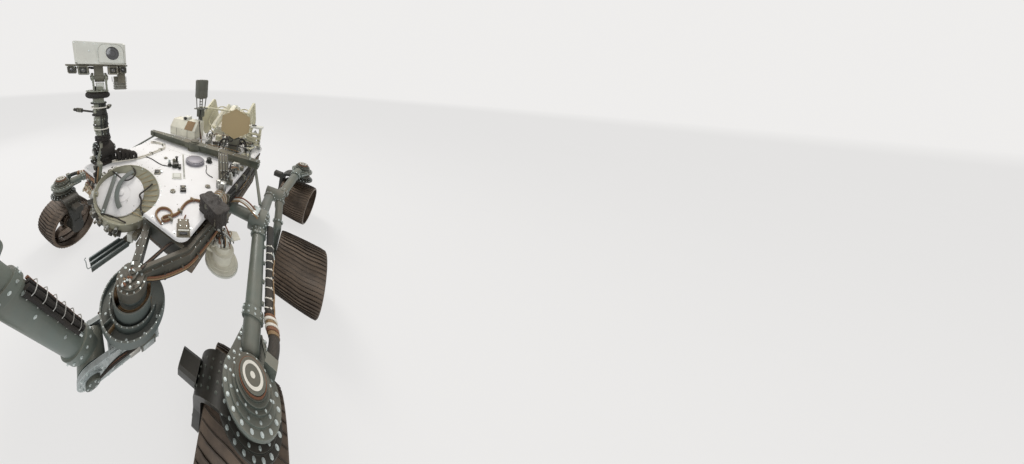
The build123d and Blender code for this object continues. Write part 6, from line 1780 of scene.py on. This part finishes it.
def box_front(made):
    """Screws, seams and a crumpled gold patch on the white rear box, and a camera-like block on its top."""
    for y in (-580, -480, -385, -290, -190):
        made.bolts(-305, y, (1092, 1180), AHEAD, 3.4)
        made.bolts((-540, -470, -410), y, 1300, size=3.4)
    for x in (-530, -460, -390, -330):
        made.bolts(x, -170, (1092, 1180), LEFTWARD, 3.4)
    for y in (-480, -290):
        made.box((-303.5, y, 1136), (3, 4, 112), paint=1)
    verts, wide, tall = [], 12, 9
    for i in range(wide + 1):
        for j in range(tall + 1):
            t = j / tall
            x, z = -303 - 92 * t, 1194 + 106 * t
            lift = 3.5 + 5 * abs(noise.noise(Vector((i * 0.43, j * 0.51, 2.0))))
            verts.append(made.bm.verts.new((x + lift * 0.75, -340 + 130 * i / wide, z + lift * 0.66)))
    for i in range(wide):
        for j in range(tall):
            a = i * (tall + 1) + j
            face = made.bm.faces.new((verts[a], verts[a + tall + 1], verts[a + tall + 2], verts[a + 1]))
            face.material_index = 6
    rim = [e for e in made.bm.edges if e.is_valid and e.is_boundary and all(v in set(verts) for v in e.verts)]
    lowered = bmesh.ops.extrude_edge_only(made.bm, edges=rim)["geom"]
    for v in lowered:
        if isinstance(v, bmesh.types.BMVert):
            v.co -= Vector((0.75, 0, 0.66)) * 8
    made.box((-470, -400, 1322), (110, 90, 44), 8, bevel=4, paint=3)
    made.drum((-416, -398, 1326), 22, 20, axis=(1, 0.1, 0.1), segments=32, bevel=2, paint=2)
    for way in (-1, 1):
        made.bolt((-470 + 40 * way, -400, 1344), size=3.4)
    for i in range(4):
        made.wire([(-430, -190 + 8 * i, 1300), (-400, -160, 1330 + 8 * i), (-380, -130, 1200),
                   (-400 + 12 * i, -110, 1084)], 5, paint=4 if i % 2 else 5)


def rear_antennas():
    """The rims, hubs and screws of the dish, the bolts of the long bar and the rings of the relay."""
    made = Maker()
    for y in (-700, -640, -480, -320, -160, 160, 320, 480, 640, 700):
        for way in (-1, 1):
            made.bolt((-40 + way * (20 if abs(y) < 500 else 14), y, 1168), size=4.6)
    made.bolt_ring((-40, 0, 1168), 50, 10, size=4.4)
    made.drum((-40, 0, 1168), 34, 12, segments=40, bevel=3, paint=1)
    made.drum((-40, 0, 1180), 16, 8, segments=28, bevel=2)
    for side in (-1, 1):
        for z in (1120, 1146):
            made.bolts((-8, -72), side * 720, z, (0, side, 0), 4)
    made.bolt_ring((DISH_X, DISH_Y, 1090), 68, 12, size=4.4)
    made.bolt_ring((DISH_X, DISH_Y, 1215), 52, 12, size=3.4)
    for z in (1480, 1520, 1560, 1600):
        made.band(z, z + 5, 20, 26, "Z", 28, (RELAY_X, RELAY_Y, 0), paint=1)
    made.bolt_ring((RELAY_X, RELAY_Y, 1467), 58, 12, size=3.4)
    made.bolt_ring((RELAY_X, RELAY_Y, 1873), 76, 16, size=2.6)
    made.drum((RELAY_X, RELAY_Y, 1873), 30, 3, segments=36, bevel=1, paint=1)
    for z in (1655, 1740, 1830):
        made.band(z, z + 4, 87, 91, "Z", 48, (RELAY_X, RELAY_Y, 0), paint=1)
    for turn in range(0, 360, 90):
        lean = turned((RELAY_X, RELAY_Y, 0), turn + 45)
        for z in (1360, 1430):
            made.bolt(lean @ Vector((40, 0, z)), lean.to_3x3() @ Vector((1, 0, 0)), 3.4)
    made.wire([(-560, -250, 1300), (-545, -246, 1340), (-552, -240, 1400), (-560, -246, 1456)], 6, paint=2)
    made.finish("rear_antenna_trim", "chassis", "dark_metal", "bolt metal", "antenna grey", "harness black")
    yoke = Maker(turned((DISH_X, DISH_Y, 0), 20))
    for way in (-1, 1):
        yoke.bolt_ring((0, way * 62, 1400), 22, 8, axis=(0, way, 0), size=3)
        yoke.drum((0, way * 62, 1400), 12, 5, axis=(0, way, 0), segments=24, bevel=1, paint=1)
        yoke.bolts(0, way * 61, (1270, 1310, 1350), (0, way, 0), 3.2)
    yoke.wire([(-40, -30, 1250), (-66, -20, 1290), (-70, 10, 1340), (-50, 30, 1380)], 6, paint=2)
    yoke.finish("dish_yoke_trim", "dish_turn", "dark_metal", "bolt metal", "antenna grey", "harness black")
    face = Maker(turned((DISH_X, DISH_Y, 1400), 20, -15))
    hexagon = [(160 * cos(radians(60 * i)), 160 * sin(radians(60 * i))) for i in range(6)]
    for i in range(6):
        start, end = Vector((85, *hexagon[i])), Vector((85, *hexagon[(i + 1) % 6]))
        face.bar(start, end, 5, 3, up=(1, 0, 0.01))
        middle = (start + end) / 2
        face.bolt((84.5, middle.y * 0.96, middle.z * 0.96), AHEAD, 2.6, paint=1)
    for i in range(6):
        spot = (54, hexagon[i][0] * 0.55, hexagon[i][1] * 0.55)
        face.bar((50, 0, 0), spot, 8, 16, bevel=1.5, paint=2, up=(1, 0, 0.01))
    face.finish("dish_trim", "dish_tilt", "gold_dish", "dish gold", "bolt metal", "antenna grey")


def generator_trim():
    """The tubes that loop round the power unit, the bolts of its shell and the screws of its side plates."""
    lean = Matrix.Translation((-1030, 0, 1225)) @ about("Y", GENERATOR_LEAN)
    made = Maker(lean)
    for x in (-298, 298):
        made.bolt_ring((x, 0, 0), 96, 14, axis=(1 if x > 0 else -1, 0, 0), size=5)
    for turn in range(0, 360, 45):
        spin = about("X", turn + 22)
        for x in (-240, -80, 80, 240):
            made.bolt(spin @ Vector((x, 0, 119)), spin @ Vector((0, 0, 1)), 4)
        made.wire([spin @ Vector(p) for p in ((-270, 0, 128), (-100, 0, 133), (90, 0, 129), (272, 0, 128))],
                  8, sides=12, paint=1)
    for way in (-1, 1):
        for z in (-60, 60):
            made.wire([(-250, way * 120, z), (-270, way * 190, z * 1.2), (-190, way * 270, z * 1.4),
                       (60, way * 286, z * 1.2), (230, way * 220, z), (250, way * 122, z)], 10, sides=12,
                       paint=1)
    made.finish("generator_tubes", "chassis", "white_paint", "bolt metal", "fin cream", "box grey")
    for name, side in (("generator_left_screws", 1), ("generator_right_screws", -1)):
        tilted = Matrix.Translation((-1030, side * 320, 1250)) @ about("Y", GENERATOR_LEAN)
        made = Maker(tilted)
        for x in (-240, -120, 0, 120, 240):
            made.bolts(x, side * 12, (-190, 190), (0, side, 0), 4)
        for z in (-140, -70, 0, 70, 140):
            made.wire([(-235, side * 14, z), (-80, side * 15, z), (80, side * 15, z), (235, side * 14, z)],
                      5, paint=1)
        for z in (-105, 105):
            made.bar((-236, side * 13, z), (236, side * 13, z), 4, 14, bevel=1, paint=1)
        made.finish(name, "chassis", "white_paint", "bolt metal", "fin cream")


# The arm and the underside

SHOULDER, ELBOW = (220, 0, 675), (479.9, 0, 1389.2)
ELBOW_SIDE, WRIST = (479.9, 122, 1389.2), (881.4, 122, 815.8)


class ROVER_OT_arm(bpy.types.Operator):
    """Adds the arm's clamped cables, collar bolts and the details of its tool head"""
    bl_idname = "rover.arm"
    bl_label = "Arm"

    def execute(self, context):
        for name, body, start, end, radius, collars in ( ("upper_arm_trim", "arm_upper", SHOULDER, ELBOW, 50,
                                                          (0.16, 0.83)),
                                                          ("forearm_trim", "arm_fore", ELBOW_SIDE, WRIST, 42,
                                                           (0.16, 0.78))):
            made = Maker(turned((ARM_X, ARM_Y, 0), ARM_TURN))
            tube_trim(made, Vector(start), Vector(end), radius, collars)
            made.finish(name, body, "cable", "bolt metal", "harness black", "tie white", "bare metal",
                        "copper braid")
        wrist_trim()
        turret_trim()
        return {"FINISHED"}


def tube_trim(made, start, end, radius, collars):
    """Cables along a tube's upper side with their clamps and ties, and the bolts of its collars and hub."""
    run = (end - start).normalized()
    over = Vector((0, 1, 0)).cross(run).normalized()
    if over.z < 0:
        over.negate()
    side = run.cross(over)
    long = (end - start).length
    for share in collars:
        round_bolts(made, start + run * long * share, run, radius + 9, 12, 4)
    first, last = (0.25, 0.77)
    for i, (lean, size, paint) in enumerate(((-0.5, 8, 1), (-0.2, 10, 1), (0.15, 8, 1), (0.45, 6, 4))):
        line = []
        for k in range(9):
            share = first + (last - first) * k / 8
            wobble = 2.5 * sin(k * 2.1 + i)
            line.append(start + run * long * share + over * ((radius + size + 1) * cos(lean)) + side
                        * ((radius + size + 1) * sin(lean) + wobble))
        made.wire(line, size, sides=12, paint=paint)
    for k in range(6):
        place = start + run * long * (0.3 + 0.085 * k)
        ring = []
        for n in range(11):
            a = radians(-36 + 7 * n)
            reach = radius + (1 if n in (0, 10) else 13 if n in (1, 9) else 22)
            ring.append(place + over * (reach * cos(a)) + side * (reach * sin(a)))
        made.wire(ring, 2, paint=3)
    for share in (0.36, 0.62):
        place = start + run * long * share
        for lean in (-1.0, 1.0):
            made.bolt(place + over * (radius * cos(lean)) + side * (radius * sin(lean)),
                      over * cos(lean) + side * sin(lean), 4)
    for way in (-1, 1):
        made.bolt_ring(start + Vector((0, way * 62, 0)), 40, 10, axis=(0, way, 0), size=3.4)


def wrist_trim():
    """Bolt rings, a motor cap and a looped cable on the wrist."""
    made = Maker(turned((ARM_X, ARM_Y, 0), ARM_TURN))
    for way in (-1, 1):
        made.bolt_ring((WRIST[0], WRIST[1] + way * 66, WRIST[2]), 30, 8, axis=(0, way, 0), size=3.2)
        made.drum((WRIST[0], WRIST[1] + way * 66, WRIST[2]), 17, 8, axis=(0, way, 0), segments=28, bevel=2,
                  paint=2)
    for slide in (0, 12, 24):
        made.wire([(WRIST[0] - 50, WRIST[1] - 40 + slide, WRIST[2] - 60),
                   (WRIST[0] - 84, WRIST[1] - 40 + slide, WRIST[2] - 20),
                   (WRIST[0] - 66, WRIST[1] - 30 + slide, WRIST[2] + 34),
                   (WRIST[0] - 20, WRIST[1] - 20 + slide, WRIST[2] + 52)], 6, paint=1)
    made.finish("wrist_trim", "arm_wrist", "dark_metal", "bolt metal", "harness black", "bare metal")


def turret_trim():
    """The tool head's bolts, plugs, wires, lens and the drill's springs and rods."""
    made, bits = Maker(turned((ARM_X, ARM_Y, 0), ARM_TURN)), random.Random(53)
    x, y = WRIST[0], WRIST[1]
    made.bolt_ring((x, y, 690.8), 80, 16, size=4.4)
    for turn, reach, wide in ((0, 216, 100), (90, 176, 90), (180, 176, 110), (270, 176, 90)):
        spin = Matrix.Translation((x, y, 0)) @ about("Z", turn)
        plane = spin @ Matrix.Translation((reach, 0, 612)) @ about("Y", 90)
        if turn:
            fittings(made, bits, plane, scattered(bits, (-70, -wide / 2 + 8), (70, wide / 2 - 8), 9),
                     (5, 16), 26)
        for z in (545, 680):
            for across in (-0.4, 0.4):
                made.bolt(spin @ Vector((reach, wide * across, z)), spin.to_3x3() @ Vector((1, 0, 0)), 3.2)
        made.wire([spin @ Vector(p)
                   for p in ((90, wide * 0.3, 694), (126, wide * 0.32, 716), (168, wide * 0.2, 722),
                             (190, wide * 0.1, 708))], 7, paint=4)
    drill = Vector((1035.7, y, 0))
    for dx, dy in ((-44, -44), (44, -44), (-44, 44), (44, 44)):
        made.rod(drill + Vector((dx, dy, 440)), drill + Vector((dx, dy, 526)), 5)
        made.band(442, 520, 7, 10, "Z", 12, drill + Vector((dx, dy, 0)), paint=1)
    made.finish("turret_trim", "arm_turret", "bare_metal", *CLUTTER_PAINTS)


class ROVER_OT_belly(bpy.types.Operator):
    """Adds the fasteners, seams and hatches of the body's underside and tail"""
    bl_idname = "rover.belly"
    bl_label = "Underside"

    def execute(self, context):
        made, bits = Maker(), random.Random(61)
        for x in range(-290, 500, 78):
            made.bolts(x, (-362, 362), 644, DOWN, 4)
        for y in range(-300, 301, 75):
            made.bolts((-292, 492), y, 644, DOWN, 4)
        made.bolt_ring((100, 0, 636), 96, 16, axis=DOWN, size=4)
        made.drum((100, 0, 636), 60, 5, axis=DOWN, segments=48, bevel=1.5, paint=1)
        for x in (-230, 430):
            for y in (-300, 300):
                made.bolt_ring((x, y, 644), 20, 6, axis=DOWN, size=2.6)
        below = Matrix(((1, 0, 0, 0), (0, -1, 0, 0), (0, 0, -1, 659.5), (0, 0, 0, 1)))
        fittings(made, bits, below,
                 scattered(bits, (-460, -560), (-340, 560), 10)
                 + scattered(bits, (540, -560), (840, 560), 16), (6, 16), 50)
        for y in (-500, -300, 300, 500):
            made.bar((-470, y, 655), (850, y, 655), 14, 9, bevel=1.5, paint=1)
        tail = Matrix(((0, 0, -1, -640), (1, 0, 0, 0), (0, -1, 0, 930), (0, 0, 0, 1)))
        fittings(made, bits, tail,
                 scattered(bits, (-540, -100), (-140, 90), 12) + scattered(bits, (140, -100), (540, 90), 12),
                 (6, 20), 60)
        for y in range(-540, 541, 90):
            if abs(y) > 120:
                made.bolt((-640, y, 1036), (-1, 0, 0), 3.6)
        made.finish("underside_fittings", "chassis", "bare_metal", *CLUTTER_PAINTS)
        return {"FINISHED"}


# Stage

class ROVER_OT_stage(bpy.types.Operator):
    """Sets the floor, the lights, the pale surroundings and the camera"""
    bl_idname = "rover.stage"
    bl_label = "Stage"

    def execute(self, context):
        scene = context.scene
        scene.view_settings.view_transform = "Standard"
        add_camera(scene)
        add_floor(scene)
        add_lights(scene)
        return {"FINISHED"}


def add_camera(scene):
    """The camera at the place that fits the photographed view."""
    lens = bpy.data.cameras.new("camera")
    lens.sensor_width = 36
    lens.lens = 36 * 174.6 / 1024
    lens.shift_x = (512 - 171) / 1024
    lens.shift_y = (120 - 232) / 1024
    lens.clip_start, lens.clip_end = 0.01, 200
    camera = bpy.data.objects.new("camera", lens)
    scene.collection.objects.link(camera)
    turn, fall = radians(220.41), radians(14.94)
    ahead = Vector((cos(turn) * cos(fall), sin(turn) * cos(fall), -sin(fall)))
    camera.location = PACKED @ Vector((1617, 1048, 1962))
    camera.rotation_mode = "QUATERNION"
    camera.rotation_quaternion = ahead.to_track_quat("-Z", "Y")
    scene.camera = camera


def add_floor(scene):
    """A plain pale floor that fades into the surroundings far away."""
    bm = bmesh.new()
    bmesh.ops.create_circle(bm, cap_ends=True, segments=96, radius=60)
    mesh = bpy.data.meshes.new("floor")
    bm.to_mesh(mesh)
    bm.free()
    floor = bpy.data.objects.new("floor", mesh)
    scene.collection.objects.link(floor)
    made = bpy.data.materials.new("floor pale")
    tree = emptied(made)
    place = node(tree, "TexCoord").outputs["Object"]
    reach = node(tree, "VectorMath", {0: place}, operation="LENGTH").outputs["Value"]
    far = span(tree, reach, 4.0, 22.0)
    tint = cloud(tree, place, 1.5, 3.0)
    shade = blend_colour(tree, tint, (0.80, 0.79, 0.775, 1), (0.83, 0.82, 0.81, 1))
    lowest = node(tree, "Math", {0: far, 1: 0.78}, operation="MAXIMUM").outputs[0]
    solid = node(tree, "BsdfDiffuse", {"Color": shade})
    glow = node(tree, "Emission", {"Color": (*PALE, 1), "Strength": 1.0})
    both = node(tree, "MixShader", {0: lowest, 1: solid.outputs[0], 2: glow.outputs[0]})
    node(tree, "OutputMaterial", {"Surface": both.outputs[0]})
    mesh.materials.append(made)


PALE = (0.86, 0.85, 0.84)


def add_lights(scene):
    """A large key light from behind on the right, two soft fills and the pale surroundings."""
    lamps = (
        # name, place, aim, width, height, watts, colour
        ("key", (-2.6, -1.6, 5.2), (0.1, 0.1, 0.6), 2.2, 2.2, 170, (1.0, 0.97, 0.93)),
        ("fill_front", (4.6, 3.4, 3.6), (0.4, 0.2, 0.6), 4.0, 3.0, 80, (0.95, 0.98, 1.0)),
        ("fill_right", (1.5, -5.0, 2.8), (0.1, -0.2, 0.7), 3.5, 3.0, 60, (1.0, 1.0, 1.0)),
    )
    for name, place, aim, width, height, watts, colour in lamps:
        lamp = bpy.data.lights.new(name, "AREA")
        lamp.shape, lamp.size, lamp.size_y = "RECTANGLE", width, height
        lamp.energy, lamp.color = watts, colour
        holder = bpy.data.objects.new(name, lamp)
        scene.collection.objects.link(holder)
        holder.location = place
        holder.rotation_euler = (Vector(aim) - Vector(place)).to_track_quat("-Z", "Y").to_euler()
    world = bpy.data.worlds.new("surroundings")
    scene.world = world
    tree = emptied(world)
    rays = node(tree, "LightPath")
    seen = maths(tree, "ADD", rays.outputs["Is Camera Ray"], rays.outputs["Is Glossy Ray"])
    seen = maths(tree, "ADD", seen, rays.outputs["Is Transmission Ray"])
    plain = node(tree, "Background", {"Color": (0.97, 0.98, 1.0, 1), "Strength": 0.6})
    pale = node(tree, "Background", {"Color": (*PALE, 1), "Strength": 1.0})
    both = node(tree, "MixShader", {0: seen, 1: plain.outputs[0], 2: pale.outputs[0]})
    node(tree, "OutputWorld", {"Surface": both.outputs[0]})


class ROVER_PT_panel(bpy.types.Panel):
    """The rover's parts in the sidebar"""
    bl_idname = "ROVER_PT_panel"
    bl_label = "Rover"
    bl_space_type = "VIEW_3D"
    bl_region_type = "UI"
    bl_category = "Rover"

    def draw(self, context):
        layout = self.layout
        for owner in (context.scene.rover_sizes, context.scene.rover_colours):
            box = layout.box()
            for label in owner.__annotations__:
                box.prop(owner, label)
        for operator in OPERATORS:
            layout.operator(operator.bl_idname)


OPERATORS = (ROVER_OT_stage, ROVER_OT_finish_frame, ROVER_OT_wheels, ROVER_OT_steering, ROVER_OT_legs,
             ROVER_OT_deck, ROVER_OT_shoulder, ROVER_OT_store, ROVER_OT_nose, ROVER_OT_mast, ROVER_OT_side,
             ROVER_OT_rear, ROVER_OT_arm, ROVER_OT_belly, )
CLASSES = (RoverSizes, RoverColours) + OPERATORS + (ROVER_PT_panel,)


def register():
    for item in CLASSES:
        bpy.utils.register_class(item)
    bpy.types.Scene.rover_sizes = bpy.props.PointerProperty(type=RoverSizes)
    bpy.types.Scene.rover_colours = bpy.props.PointerProperty(type=RoverColours)


def unregister():
    del bpy.types.Scene.rover_colours
    del bpy.types.Scene.rover_sizes
    for item in reversed(CLASSES):
        bpy.utils.unregister_class(item)


def main():
    """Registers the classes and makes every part."""
    global PACKED
    register()
    PACKED = to_packed()
    for operator in OPERATORS:
        group_name, action = operator.bl_idname.split(".")
        getattr(getattr(bpy.ops, group_name), action)()


if __name__ == "__main__":
    main()
